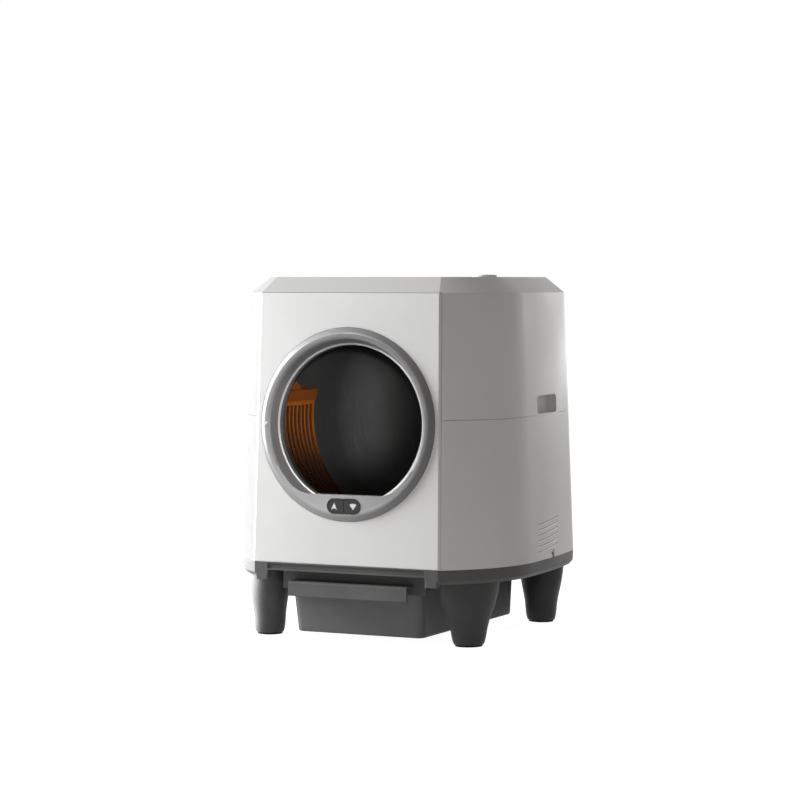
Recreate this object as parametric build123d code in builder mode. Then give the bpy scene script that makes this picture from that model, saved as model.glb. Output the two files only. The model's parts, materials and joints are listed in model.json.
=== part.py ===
from build123d import *
import os
from math import acos, atan2, cos, hypot, pi, radians, sin, sqrt, tan

os.makedirs("parts", exist_ok=True)

# Self-cleaning litter box. Millimetres, front towards -Y, +X to the right, Z up from the floor.

# Housing
BODY_WIDTH = 512.0
BODY_DEPTH = 516.0
HEIGHT = 600.0
DRAFT = 2.2
WALL = 3.0
FRONT_WIDTH = 334.6
SHOULDER_SETBACK = 175.0
FLANK_RADIUS = 1340.0
REAR_CORNER_RADIUS = 124.0
REAR_RADIUS = 500.0
SHELL_BOTTOM = 130.0
SEAM_Z = 370.0
CHAMFER_HEIGHT = 26.0
CHAMFER_INSET = 32.0
SEAM_GAP = 0.4
RIM_HEIGHT = 6.0
RIM_WALL = 2.0
RIM_SETBACK = 60.0
EDGE_ROUND = 1.5

# Base band, deck and drawer opening
BAND_HEIGHT = 24.0
BAND_CHAMFER = 6.0
BAND_WALL = 4.0
DECK = 4.0
APRON_HEIGHT = 13.0
DOORWAY_ROOM = 23.0
BRACKET_WIDTH = 23.0
BRACKET_HEIGHT = 29.0

APRON_RECESS = 3.0
APRON_LIP = 2.5

# Legs: place of the centre, then half sizes along and across the base's edge at shares of the height
FRONT_LEG_INSET = (72.0, 84.0)
REAR_LEG_REACH = 75.5
REAR_LEG_ANGLE = 48.0
LEG_SECTIONS = [
    (0.0, 25.0, 23.0),
    (0.05, 27.5, 25.0),
    (0.238, 33.0, 27.0),
    (0.467, 44.0, 30.5),
    (0.697, 53.5, 33.5),
    (0.795, 55.5, 34.3),
    (1.0, 56.0, 34.5),
]
LEG_GAP = 1.0
LEG_WALL = 4.0
LEG_WEB = 8.0
PAD_LIP = 2.0
PAD_HEIGHT = 3.0
PAD_PLUG = 5.0
PAD_CLEARANCE = 1.0
CELL_LENGTH = 60.0
CELL_WIDTH = 14.0
CELL_HEIGHT = 12.0

# Entry ring and control pill
RING_MOUTH = 130.0
RING_FUNNEL = 10.0
RING_CROWN = 9.0
RING_SKIRT = 9.0
RING_RISE = 7.0
RING_FOOT = 0.6
RING_GAP = 0.3
RING_SEAT = 10.0
RING_DEPTH = 26.0
RING_LIP_DEPTH = 11.0
RING_LIP = 2.6
RING_TUBE_DEPTH = 22.0
RING_WALL = 3.0
SILL_RISE = 15.0
SILL_BLEND = 60.0
PILL_MARGIN = 5.5
PILL_LENGTH = 61.0
PILL_WIDTH = 25.0
PILL_DEPTH = 13.0
KEY_GAP = 0.4
KEY_HEIGHT = 8.6
KEY_PROUD = 0.6
SEAL = 3.0

# Drum: it fills the housing, less the room at the deck, the ceiling and the sides
DECK_ROOM = 16.0
CEILING_ROOM = 23.0
SIDE_ROOM = 30.0
REAR_ROOM = 68.0
MOUTH_ROOM = 11.0
MOUTH_STEP = 8.0
DRUM_WALL = 3.0
SHOULDER_DEPTH = 96.0
TAIL_RADIUS = 80.0
FLANGE = 8.0
FLANGE_WALL = 4.0
BOLT_ROOM = 3.0
PORT_FROM = 175.0
PORT_TO = 215.0
PORT_OVERLAP = 20.0
PORT_LENGTH = 100.0
TRACK_WIDTH = 20.0
TRACK_GAP = 6.0

# Sifting screen: angles are counted from +X, seen from the front
SIFTER_GAP = 19.0
SIFTER_MARGIN = (20.0, 14.0)
SIFTER_WALL = 4.0
SIFTER_TOP = 171.0
SIFTER_FOOT = 226.0
BAR_PITCH = 14.0
BAR_WIDTH = 5.0
HOLDER_TOP = 165.0
HOLDER_PROUD = 3.0
TAB_HALF = 18.0
TAB_HEIGHT = 12.0
TAB_WALL = 8.0

# Drive
MODULE = 3.0
GEAR_RIM = 10.0
PINION_TEETH = 18
GEAR_SET = 35.0
GEAR_FACE = 14.0
MESH_ANGLE = -45.0
BACKLASH = 0.4
SHAFT_RADIUS = 4.0
AXLE_RADIUS = 10.0
RUN_GAP = 0.05
ROLLER_RADIUS = 16.0
ROLLER_WIDTH = 14.0
ROLLER_ANGLE = 40.0
ROLLER_GAP = 0.3
PIN_RADIUS = 3.0

# Grips, vents and power socket
GRIP_Y = 14.0
GRIP_LENGTH = 102.0
GRIP_HEIGHT = 30.0
GRIP_RISE = 17.5
GRIP_CORNER = 9.0
GRIP_DEPTH = 20.0
GRIP_WALL = 2.0
VENT_COUNT = 6
VENT_PITCH = 8.7
VENT_LENGTH = 105.0
VENT_HEIGHT = 1.8
VENT_RISE = 13.0
VENT_START = 20.0
SOCKET_Y = 18.0
SOCKET_SIZE = 13.0
SOCKET_BORE = 2.8

# Waste chute through the deck
CHUTE_INSET = 45.0
CHUTE_SIDE_ROOM = 60.0
CHUTE_MARGIN = 10.0
CHUTE_WALL = 2.5
CHUTE_GAP = 0.3
CHUTE_FLANGE = 8.0
CHUTE_REACH = 18.0

# Drawer
BIN_SIDE_ROOM = 136.0
BIN_SETBACK = 37.0
BIN_REAR_ROOM = 94.0
BIN_BOTTOM = 11.0
BIN_DROP = 32.0
BIN_WALL = 2.5
BIN_DRAFT = 2.2
BIN_LEAN = 9.0
BIN_CORNER = 14.0
RIM_REACH = 6.0
RIM_THICK = 4.0
SLIDE_GAP = 0.3
RAIL_WALL = 3.0
HANDLE_INSET = 12.0
HANDLE_REACH = 30.0
HANDLE_RISE = 2.0
HANDLE_HEIGHT = 25.0
RISER_MARGIN = 12.0
RISER_GAP = 2.0

# Odour cartridge under the top
CAP_AT = (114.0, 45.0)
CAP_RADIUS = 21.0
CAP_HEIGHT = 4.0

tilt = radians(DRAFT)
knee_z = HEIGHT - CHAMFER_HEIGHT
ceiling_z = HEIGHT - WALL
deck_under = SHELL_BOTTOM - DECK
crown_inner = RING_MOUTH + RING_FUNNEL
crown_outer = crown_inner + RING_CROWN
ring_outer = crown_outer + RING_SKIRT
entry_hole = ring_outer + RING_GAP
sill_drop = RING_MOUTH - SILL_RISE
pill_drop = sill_drop + PILL_MARGIN + PILL_WIDTH / 2
height_space = (ceiling_z - SHELL_BOTTOM - CEILING_ROOM - DECK_ROOM) / 2
width_space = BODY_WIDTH / 2 - (ceiling_z - SHELL_BOTTOM) / 2 * tan(tilt) - WALL - SIDE_ROOM
flange_radius = min(height_space, width_space)
drum_radius = flange_radius - FLANGE
entry_z = SHELL_BOTTOM + DECK_ROOM + flange_radius
widest_y = SHOULDER_SETBACK - BODY_DEPTH / 2
shoulder_step = (BODY_WIDTH - FRONT_WIDTH) / 2
shoulder_radius = (shoulder_step**2 + SHOULDER_SETBACK**2) / (2 * shoulder_step)
drum_mouth = RING_MOUTH + MOUTH_STEP
sifter_radius = drum_radius - SIFTER_GAP
drum_teeth = round(2 * (drum_radius + GEAR_RIM) / MODULE)
grip_z = SEAM_Z + GRIP_RISE
bin_width = BODY_WIDTH - 2 * BIN_SIDE_ROOM
bin_length = BODY_DEPTH - BIN_SETBACK - BIN_REAR_ROOM
bin_front_y = BIN_SETBACK - BODY_DEPTH / 2
bin_rear_y = bin_front_y + bin_length
doorway_width = bin_width + 2 * DOORWAY_ROOM
handle_width = bin_width - 2 * HANDLE_INSET
roller_reach = drum_radius + ROLLER_RADIUS + ROLLER_GAP
roller = (roller_reach * sin(radians(ROLLER_ANGLE)), -roller_reach * cos(radians(ROLLER_ANGLE)))
chute_half = min(bin_width / 2 - CHUTE_INSET, roller[0] - CHUTE_SIDE_ROOM)
bin_top = SHELL_BOTTOM - BIN_DROP
handle_top = bin_top + HANDLE_RISE


def skin(z):
    """Inset of the drafted outer skin at height z."""
    return (z - SHELL_BOTTOM) * tan(tilt)


def front_y(z):
    """Y of the flat front face at height z."""
    return skin(z) - BODY_DEPTH / 2


drum_front_y = front_y(entry_z) + RING_DEPTH + WALL + SEAL + MOUTH_ROOM
drum_rear_y = BODY_DEPTH / 2 - REAR_ROOM
shoulder_y = drum_front_y + SHOULDER_DEPTH
port_y = (shoulder_y - PORT_OVERLAP, shoulder_y - PORT_OVERLAP + PORT_LENGTH)
sifter_y = (port_y[0] - SIFTER_MARGIN[0], port_y[1] + SIFTER_MARGIN[1])
split_y = sifter_y[1] + DRUM_WALL + BOLT_ROOM
gear_y = split_y + GEAR_SET
roller_y = port_y[0] - TRACK_GAP - TRACK_WIDTH / 2


def polar(centre, radius, angle):
    """Point at a radius and angle (radians) about a centre."""
    return (centre[0] + radius * cos(angle), centre[1] + radius * sin(angle))


def rear_corner_centre():
    """Centre of the rear corner arc, tangent inside the flank arc and the rear arc."""
    fx = BODY_WIDTH / 2 - FLANK_RADIUS
    gy = BODY_DEPTH / 2 - REAR_RADIUS
    to_flank = FLANK_RADIUS - REAR_CORNER_RADIUS
    to_rear = REAR_RADIUS - REAR_CORNER_RADIUS
    span = hypot(fx, gy - widest_y)
    along = (to_flank**2 - to_rear**2 + span**2) / (2 * span)
    off = sqrt(to_flank**2 - along**2)
    ux = -fx / span
    uy = (gy - widest_y) / span
    return (fx + along * ux - off * uy, widest_y + along * uy + off * ux)


def plan(z, inset):
    """Plan outline of the housing at height z, moved in by inset all round."""
    shoulder = (BODY_WIDTH / 2 - shoulder_radius, widest_y)
    flank = (BODY_WIDTH / 2 - FLANK_RADIUS, widest_y)
    corner = rear_corner_centre()
    rear = (0.0, BODY_DEPTH / 2 - REAR_RADIUS)
    face_y = inset - BODY_DEPTH / 2
    r_shoulder = shoulder_radius - inset
    r_corner = REAR_CORNER_RADIUS - inset
    start = -acos(sqrt(r_shoulder**2 - (face_y - widest_y) ** 2) / r_shoulder)
    a_flank = atan2(corner[1] - flank[1], corner[0] - flank[0])
    a_rear = atan2(corner[1] - rear[1], corner[0] - rear[0])
    right = [
        polar(shoulder, r_shoulder, start),
        polar(shoulder, r_shoulder, start / 2),
        polar(shoulder, r_shoulder, 0.0),
        polar(flank, FLANK_RADIUS - inset, a_flank / 2),
        polar(flank, FLANK_RADIUS - inset, a_flank),
        polar(corner, r_corner, (a_flank + a_rear) / 2),
        polar(corner, r_corner, a_rear),
    ]
    left = [(-x, y) for x, y in right]
    with BuildSketch(Plane.XY.offset(z)) as outline:
        with BuildLine():
            Line(left[0], right[0])
            ThreePointArc(right[0], right[1], right[2])
            ThreePointArc(right[2], right[3], right[4])
            ThreePointArc(right[4], right[5], right[6])
            ThreePointArc(right[6], (0, BODY_DEPTH / 2 - inset), left[6])
            ThreePointArc(left[6], left[5], left[4])
            ThreePointArc(left[4], left[3], left[2])
            ThreePointArc(left[2], left[1], left[0])
        make_face()
    return outline.sketch


def axis_plane(y):
    """Plane across the drum's axis at y, seen from the front, its origin on the axis."""
    return Plane(origin=(0, y, entry_z), x_dir=(1, 0, 0), z_dir=(0, -1, 0))


def sector(inner, outer, start, end):
    """Face between two radii and two angles (degrees) about the origin."""
    a = radians(start)
    b = radians(end)
    centre = (0.0, 0.0)
    with BuildSketch() as face:
        with BuildLine():
            Line(polar(centre, inner, a), polar(centre, outer, a))
            ThreePointArc(*[polar(centre, outer, t) for t in (a, (a + b) / 2, b)])
            Line(polar(centre, outer, b), polar(centre, inner, b))
            ThreePointArc(*[polar(centre, inner, t) for t in (b, (a + b) / 2, a)])
        make_face()
    return face.sketch


def gear_face(teeth, centre_angle):
    """Involute spur gear outline, with a tooth centred on centre_angle (degrees)."""
    pitch = MODULE * teeth / 2
    base = pitch * cos(radians(20))
    root = pitch - 1.25 * MODULE
    tip = pitch + MODULE
    half = (pi * MODULE / 2 - BACKLASH / 2) / (2 * pitch)
    inv_pitch = tan(radians(20)) - radians(20)
    low = max(root, base)
    radii = [root] if root < base else []
    radii += [low, (low + pitch) / 2, pitch, tip]
    flank = []
    for r in radii:
        pressure = acos(base / max(r, base))
        flank.append((r, half + inv_pitch - (tan(pressure) - pressure)))
    points = []
    for tooth in range(teeth):
        middle = radians(centre_angle) + tooth * 2 * pi / teeth
        points += [(r * cos(middle - a), r * sin(middle - a)) for r, a in flank]
        points += [(r * cos(middle + a), r * sin(middle + a)) for r, a in reversed(flank)]
    with BuildSketch() as face:
        with BuildLine():
            Polyline(points, close=True)
        make_face()
    return face.sketch


def leg_face(centre, long_angle, z, along, across):
    """Oval leg section at height z, its long side turned to long_angle (degrees)."""
    long_side = (cos(radians(long_angle)), sin(radians(long_angle)), 0)
    with BuildSketch(Plane((centre[0], centre[1], z), x_dir=long_side)) as oval:
        Ellipse(along, across)
    return oval.sketch


def leg_faces(centre, long_angle, first, last, inset):
    """The leg's sections from first up to last, each moved in by inset."""
    return [
        leg_face(centre, long_angle, leg_z(share), along - inset, across - inset)
        for share, along, across in LEG_SECTIONS[first:last]
    ]


def leg_z(share):
    """Height at a share of the leg, from its foot to its top."""
    return PAD_HEIGHT + share * (leg_top - PAD_HEIGHT)


def drum_section(inset):
    """Half section of the drum's outer form, moved in by inset; x is the radius, y runs along the axis."""
    reach = shoulder_y - drum_front_y
    drop = drum_radius - drum_mouth - DRUM_WALL
    bend = (drop**2 + reach**2) / (2 * drop)
    shoulder = (drum_radius - bend, shoulder_y)
    tail = (drum_radius - TAIL_RADIUS, drum_rear_y - TAIL_RADIUS)
    radius = drum_radius - inset
    start = -acos(sqrt((bend - inset) ** 2 - reach**2) / (bend - inset))
    lip = polar(shoulder, bend - inset, start)
    rear = drum_rear_y - inset
    with BuildSketch(Plane.XY.offset(entry_z)) as half:
        with BuildLine():
            Line((0, drum_front_y), lip)
            ThreePointArc(lip, polar(shoulder, bend - inset, start / 2), (radius, shoulder_y))
            Line((radius, shoulder_y), (radius, tail[1]))
            ThreePointArc(
                (radius, tail[1]), polar(tail, TAIL_RADIUS - inset, pi / 4), (tail[0], rear)
            )
            Line((tail[0], rear), (0, rear))
            Line((0, rear), (0, drum_front_y))
        make_face()
    return half.sketch


drum_axis = Axis((0, 0, entry_z), (0, 1, 0))
panel = Plane(origin=(0, front_y(entry_z), entry_z), x_dir=(1, 0, 0), z_dir=(0, -cos(tilt), sin(tilt)))
ring_section = Plane(origin=panel.origin, x_dir=(1, 0, 0), z_dir=(0, -sin(tilt), -cos(tilt)))
ring_axis = Axis(panel.origin, panel.z_dir)
crown = panel.offset(RING_RISE)

# Tools: the zone of the front panel, the hollow of each shell and the hollow of the drum
zone_floor = SHELL_BOTTOM - BAND_HEIGHT
with BuildPart() as panel_zone:
    with BuildSketch(Plane.YZ) as zone:
        Polygon(
            (-BODY_DEPTH, zone_floor),
            (front_y(zone_floor) + WALL, zone_floor),
            (front_y(knee_z) + WALL, knee_z),
            (-BODY_DEPTH, knee_z),
            align=None,
        )
    extrude(amount=BODY_WIDTH, both=True)

with BuildPart() as cover_zone:
    with BuildSketch(Plane.YZ) as zone:
        Polygon(
            (-BODY_DEPTH, zone_floor),
            (front_y(zone_floor) + WALL + SEAM_GAP, zone_floor),
            (front_y(knee_z) + WALL + SEAM_GAP, knee_z + SEAM_GAP),
            (-BODY_DEPTH, knee_z + SEAM_GAP),
            align=None,
        )
    extrude(amount=BODY_WIDTH, both=True)

with BuildPart() as lower_hollow:
    loft(
        sections=[plan(SHELL_BOTTOM, WALL), plan(SEAM_Z, skin(SEAM_Z) + WALL)],
        ruled=True,
    )

chamfer_length = hypot(CHAMFER_HEIGHT, CHAMFER_INSET)
slope = CHAMFER_INSET / CHAMFER_HEIGHT
inner_shift = WALL * chamfer_length / CHAMFER_HEIGHT
inner_knee_z = knee_z + (WALL - inner_shift) / (slope - tan(tilt))
with BuildPart() as cover_hollow:
    loft(
        sections=[plan(SEAM_Z, skin(SEAM_Z) + WALL), plan(inner_knee_z, skin(inner_knee_z) + WALL)],
        ruled=True,
    )
    loft(
        sections=[
            plan(inner_knee_z, skin(inner_knee_z) + WALL),
            plan(ceiling_z, skin(knee_z) + (ceiling_z - knee_z) * slope + inner_shift),
        ],
        ruled=True,
    )

with BuildPart() as drum_hollow:
    add(drum_section(DRUM_WALL))
    revolve(axis=drum_axis)

# Base frame: band, deck, apron over the drawer and its two side brackets
band_bottom = SHELL_BOTTOM - BAND_HEIGHT
band_knee = band_bottom + BAND_CHAMFER
chute_centre = (port_y[0] + port_y[1]) / 2
chute_depth = port_y[1] - port_y[0] + 2 * CHUTE_MARGIN
BOSS_RADIUS = 6.0
SCREW_RADIUS = 1.95
BOSS_INSET = 9.5
flank_centre = (BODY_WIDTH / 2 - FLANK_RADIUS, widest_y)
corner_centre = rear_corner_centre()
rear_centre = (0, BODY_DEPTH / 2 - REAR_RADIUS)
flank_end = atan2(corner_centre[1] - flank_centre[1], corner_centre[0] - flank_centre[0])
rear_end = atan2(corner_centre[1] - rear_centre[1], corner_centre[0])
boss_low = polar(flank_centre, FLANK_RADIUS - BOSS_INSET, 0.0)
boss_high = polar(flank_centre, FLANK_RADIUS - BOSS_INSET, flank_end)
boss_back = polar(rear_centre, REAR_RADIUS - BOSS_INSET, (rear_end + pi / 2) / 2)
boss_spots = [(sx * x, y) for x, y in (boss_low, boss_high, boss_back) for sx in (1, -1)]
with BuildPart() as base_frame:
    loft(sections=[plan(band_knee, 1.0), plan(SHELL_BOTTOM, 0.0)], ruled=True)
    loft(sections=[plan(band_bottom, BAND_CHAMFER), plan(band_knee, 1.0)], ruled=True)
    loft(
        sections=[plan(band_bottom, BAND_CHAMFER + BAND_WALL), plan(band_knee, 1.0 + BAND_WALL)],
        ruled=True,
        mode=Mode.SUBTRACT,
    )
    loft(
        sections=[plan(band_knee, 1.0 + BAND_WALL), plan(deck_under, 1.0 + BAND_WALL)],
        ruled=True,
        mode=Mode.SUBTRACT,
    )
    with BuildSketch(Plane.XY.offset(SHELL_BOTTOM - BRACKET_HEIGHT)):
        for side in (1, -1):
            with Locations((side * (doorway_width + BRACKET_WIDTH) / 2, 7.0 - BODY_DEPTH / 2)):
                RectangleRounded(BRACKET_WIDTH, 12.0, 3.0)
    extrude(amount=BRACKET_HEIGHT - DECK)
    with Locations((0, -BODY_DEPTH / 2, SHELL_BOTTOM - APRON_HEIGHT - BAND_HEIGHT / 2)):
        Box(doorway_width, 40.0, BAND_HEIGHT, mode=Mode.SUBTRACT)
    with Locations((0, -BODY_DEPTH / 2, SHELL_BOTTOM - APRON_HEIGHT + APRON_LIP)):
        Box(
            doorway_width,
            2 * APRON_RECESS,
            APRON_HEIGHT - APRON_LIP - DECK / 2,
            align=(Align.CENTER, Align.CENTER, Align.MIN),
            mode=Mode.SUBTRACT,
        )
    with Locations((0, chute_centre, SHELL_BOTTOM)):
        Box(
            2 * (chute_half + CHUTE_WALL + CHUTE_GAP),
            chute_depth + 2 * (CHUTE_WALL + CHUTE_GAP),
            4 * DECK,
            mode=Mode.SUBTRACT,
        )
    with BuildSketch(Plane.XY.offset(deck_under)):
        with Locations(*boss_spots):
            Circle(SCREW_RADIUS + 0.3)
    extrude(amount=DECK, mode=Mode.SUBTRACT)
base_frame.part.label = "base_frame"
export_step(base_frame.part, "parts/base_frame.step")

# Legs: hollow below the web, which carries the load cell
shoulder_centre = (BODY_WIDTH / 2 - shoulder_radius, widest_y)
front_leg = (BODY_WIDTH / 2 - FRONT_LEG_INSET[0], FRONT_LEG_INSET[1] - BODY_DEPTH / 2)
rear_leg = polar(corner_centre, REAR_LEG_REACH, radians(REAR_LEG_ANGLE))
front_turn = atan2(front_leg[1] - shoulder_centre[1], front_leg[0] - shoulder_centre[0]) * 180 / pi + 90
rear_turn = atan2(rear_leg[1] - corner_centre[1], rear_leg[0] - corner_centre[0]) * 180 / pi + 90
leg_top = deck_under - LEG_GAP
web_at = len(LEG_SECTIONS) - 3
web_top = leg_z(LEG_SECTIONS[web_at][0]) + LEG_WEB
pan = (LEG_SECTIONS[web_at + 1][1] - LEG_WALL, LEG_SECTIONS[web_at + 1][2] - LEG_WALL)
with BuildPart() as leg_front_right:
    loft(sections=leg_faces(front_leg, front_turn, 0, len(LEG_SECTIONS), 0.0))
    loft(sections=leg_faces(front_leg, front_turn, 0, web_at + 1, LEG_WALL), mode=Mode.SUBTRACT)
    add(leg_face(front_leg, front_turn, web_top, *pan))
    extrude(amount=leg_top - web_top, mode=Mode.SUBTRACT)
leg_front_right.part.label = "leg_front_right"
export_step(leg_front_right.part, "parts/leg_front_right.step")

with BuildPart() as leg_rear_right:
    loft(sections=leg_faces(rear_leg, rear_turn, 0, len(LEG_SECTIONS), 0.0))
    loft(sections=leg_faces(rear_leg, rear_turn, 0, web_at + 1, LEG_WALL), mode=Mode.SUBTRACT)
    add(leg_face(rear_leg, rear_turn, web_top, *pan))
    extrude(amount=leg_top - web_top, mode=Mode.SUBTRACT)
leg_rear_right.part.label = "leg_rear_right"
export_step(leg_rear_right.part, "parts/leg_rear_right.step")

with BuildPart() as leg_front_left:
    mirror(leg_front_right.part, about=Plane.YZ)
leg_front_left.part.label = "leg_front_left"
export_step(leg_front_left.part, "parts/leg_front_left.step")

with BuildPart() as leg_rear_left:
    mirror(leg_rear_right.part, about=Plane.YZ)
leg_rear_left.part.label = "leg_rear_left"
export_step(leg_rear_left.part, "parts/leg_rear_left.step")

foot_along, foot_across = LEG_SECTIONS[0][1:]
plug_inset = LEG_WALL + PAD_CLEARANCE
leg_spots = [(front_leg, front_turn), (rear_leg, rear_turn)]
leg_spots += [((-x, y), 180 - turn) for (x, y), turn in leg_spots]
with BuildPart() as foot_pads:
    for spot, turn in leg_spots:
        with BuildSketch(Plane.XY):
            with Locations(spot):
                Ellipse(foot_along - PAD_LIP, foot_across - PAD_LIP, rotation=turn)
        extrude(amount=PAD_HEIGHT)
        with BuildSketch(Plane.XY.offset(PAD_HEIGHT)):
            with Locations(spot):
                Ellipse(foot_along - plug_inset, foot_across - plug_inset, rotation=turn)
        extrude(amount=PAD_PLUG)
foot_pads.part.label = "foot_pads"
export_step(foot_pads.part, "parts/foot_pads.step")

# Load cells: each bar is fixed to the leg's web at one end and to the deck at the other
CELL_BOSS = 3.0
with BuildPart() as load_cells:
    for spot, turn in leg_spots:
        step = polar((0, 0), CELL_LENGTH / 2 - 8.0, radians(turn))
        with BuildSketch(Plane.XY.offset(web_top + CELL_BOSS)):
            with Locations(Location((spot[0], spot[1], 0), (0, 0, turn))):
                Rectangle(CELL_LENGTH, CELL_WIDTH)
        extrude(amount=CELL_HEIGHT)
        with BuildSketch(Plane.XY.offset(web_top)):
            with Locations((spot[0] + step[0], spot[1] + step[1])):
                Circle(CELL_WIDTH / 2 - 1.0)
        extrude(amount=CELL_BOSS)
        with BuildSketch(Plane.XY.offset(web_top + CELL_BOSS + CELL_HEIGHT)):
            with Locations((spot[0] - step[0], spot[1] - step[1])):
                Circle(CELL_WIDTH / 2 - 1.0)
        extrude(amount=deck_under - web_top - CELL_BOSS - CELL_HEIGHT)
load_cells.part.label = "load_cells"
export_step(load_cells.part, "parts/load_cells.step")

# Lower shell: sides and rear up to the seam, with the cover's locating rim, vents and screw bosses
BOSS_HEIGHT = 30.0
rim_top = SEAM_Z + RIM_HEIGHT
rim_foot = SEAM_Z - 2 * RIM_HEIGHT
with BuildPart() as locating_rim:
    loft(
        sections=[plan(rim_foot, skin(rim_foot) + WALL), plan(SEAM_Z, skin(SEAM_Z) + WALL)],
        ruled=True,
    )
    loft(
        sections=[
            plan(SEAM_Z, skin(SEAM_Z) + WALL + SEAM_GAP),
            plan(rim_top, skin(rim_top) + WALL + SEAM_GAP),
        ],
        ruled=True,
    )
    loft(
        sections=[
            plan(rim_foot, skin(rim_foot) + WALL + RIM_WALL),
            plan(rim_top, skin(rim_top) + WALL + RIM_WALL),
        ],
        ruled=True,
        mode=Mode.SUBTRACT,
    )
    with Locations((0, front_y(SEAM_Z), SEAM_Z)):
        Box(BODY_WIDTH, 2 * RIM_SETBACK, 8 * RIM_HEIGHT, mode=Mode.SUBTRACT)
    with Locations((0, GRIP_Y, SEAM_Z)):
        Box(BODY_WIDTH, GRIP_LENGTH + 12.0, 8 * RIM_HEIGHT, mode=Mode.SUBTRACT)

with BuildPart() as lower_shell:
    loft(sections=[plan(SHELL_BOTTOM, 0.0), plan(SEAM_Z, skin(SEAM_Z))], ruled=True)
    add(lower_hollow.part, mode=Mode.SUBTRACT)
    add(panel_zone.part, mode=Mode.SUBTRACT)
    add(locating_rim.part)
    with BuildSketch(Plane.XY.offset(SHELL_BOTTOM)):
        with Locations(*boss_spots):
            Rectangle(2.4 * BOSS_RADIUS, 2.4 * BOSS_RADIUS)
    extrude(amount=BOSS_HEIGHT)
    with BuildSketch(Plane.XY.offset(SHELL_BOTTOM)):
        with Locations(*boss_spots):
            Circle(SCREW_RADIUS + 0.05)
    extrude(amount=BOSS_HEIGHT - 6.0, mode=Mode.SUBTRACT)
    with BuildSketch(Plane.YZ.offset(BODY_WIDTH / 2 - VENT_START)):
        for slot in range(VENT_COUNT):
            with Locations((0, SHELL_BOTTOM + VENT_RISE + VENT_START + slot * VENT_PITCH)):
                SlotOverall(VENT_LENGTH, VENT_HEIGHT)
    extrude(amount=2 * VENT_START, dir=(1, 0, -1), mode=Mode.SUBTRACT)
    with Locations((BODY_WIDTH / 2, SOCKET_Y, SHELL_BOTTOM)):
        Box(30.0, SOCKET_SIZE, 2 * SOCKET_SIZE, mode=Mode.SUBTRACT)
lower_shell.part.label = "lower_shell"
export_step(lower_shell.part, "parts/lower_shell.step")

# Front panel: flat fascia with the round recess that takes the entry ring
seat_radius = entry_hole - RING_SEAT
with BuildPart() as front_panel:
    loft(sections=[plan(SHELL_BOTTOM, 0.0), plan(knee_z, skin(knee_z))], ruled=True)
    add(panel_zone.part, mode=Mode.INTERSECT)
    with BuildSketch(panel):
        Circle(entry_hole)
    extrude(amount=2 * RING_DEPTH, both=True, mode=Mode.SUBTRACT)
    with BuildSketch(ring_section):
        Polygon(
            (entry_hole, -1.0),
            (entry_hole + WALL, -1.0),
            (entry_hole + WALL, -RING_DEPTH - WALL),
            (seat_radius, -RING_DEPTH - WALL),
            (seat_radius, -RING_DEPTH),
            (entry_hole, -RING_DEPTH),
            align=None,
        )
    revolve(axis=ring_axis)
    fascia = front_panel.faces().filter_by(lambda f: f.normal_at().dot(panel.z_dir) > 0.999)
    rim = fascia.sort_by(SortBy.AREA)[-1].outer_wire()
    fillet(rim.edges(), EDGE_ROUND)
front_panel.part.label = "front_panel"
export_step(front_panel.part, "parts/front_panel.step")

# Entry ring: a hollow crown with the mouth's funnel, and the solid sill that carries the control pill


def mouth_face():
    """Opening of the ring at its crown: a circle cut flat at the sill, blended at both ends."""
    with BuildSketch() as mouth:
        Circle(crown_inner)
        with Locations((0, -sill_drop - crown_inner)):
            Rectangle(4 * crown_inner, 2 * crown_inner, mode=Mode.SUBTRACT)
        fillet(mouth.vertices(), SILL_BLEND)
    return mouth.sketch


CROWN_ROUND = 6.0
SILL_SPREAD = 0.62
SILL_SINK = 0.1
mouth_cut = mouth_face()
with BuildPart() as sill:
    with BuildSketch(panel.offset(-RING_TUBE_DEPTH)):
        Circle(crown_outer - RING_WALL)
        add(mouth_cut, mode=Mode.SUBTRACT)
        with Locations((0, entry_hole - SILL_SPREAD * sill_drop)):
            Rectangle(2 * entry_hole, 2 * entry_hole, mode=Mode.SUBTRACT)
    extrude(amount=RING_TUBE_DEPTH + RING_RISE - SILL_SINK)

with BuildPart() as entry_ring:
    with BuildSketch(ring_section):
        Polygon(
            (ring_outer, -RING_DEPTH),
            (ring_outer, RING_FOOT),
            (crown_outer, RING_RISE),
            (crown_inner, RING_RISE),
            (RING_MOUTH + RING_LIP, -RING_LIP_DEPTH),
            (RING_MOUTH, -RING_LIP_DEPTH),
            (RING_MOUTH, -RING_TUBE_DEPTH),
            (RING_MOUTH + RING_WALL, -RING_TUBE_DEPTH),
            (RING_MOUTH + RING_WALL, -RING_LIP_DEPTH - RING_WALL),
            (RING_MOUTH + RING_LIP + RING_WALL, -RING_LIP_DEPTH - RING_WALL / 2),
            (crown_inner + RING_WALL / 2, RING_RISE - RING_WALL),
            (crown_outer - RING_WALL / 2, RING_RISE - RING_WALL),
            (ring_outer - RING_WALL, RING_FOOT - RING_WALL / 2),
            (ring_outer - RING_WALL, -RING_DEPTH),
            align=None,
        )
    revolve(axis=ring_axis)
    for radius in (crown_outer, crown_inner):
        circles = [e for e in entry_ring.edges() if e.geom_type == GeomType.CIRCLE]
        fillet([e for e in circles if abs(e.radius - radius) < 0.01], CROWN_ROUND)
    add(sill.part)
    with BuildSketch(crown):
        with Locations((0, -pill_drop)):
            SlotOverall(PILL_LENGTH + KEY_GAP, PILL_WIDTH + KEY_GAP)
    extrude(amount=-PILL_DEPTH, mode=Mode.SUBTRACT)
entry_ring.part.label = "entry_ring"
export_step(entry_ring.part, "parts/entry_ring.step")

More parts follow.
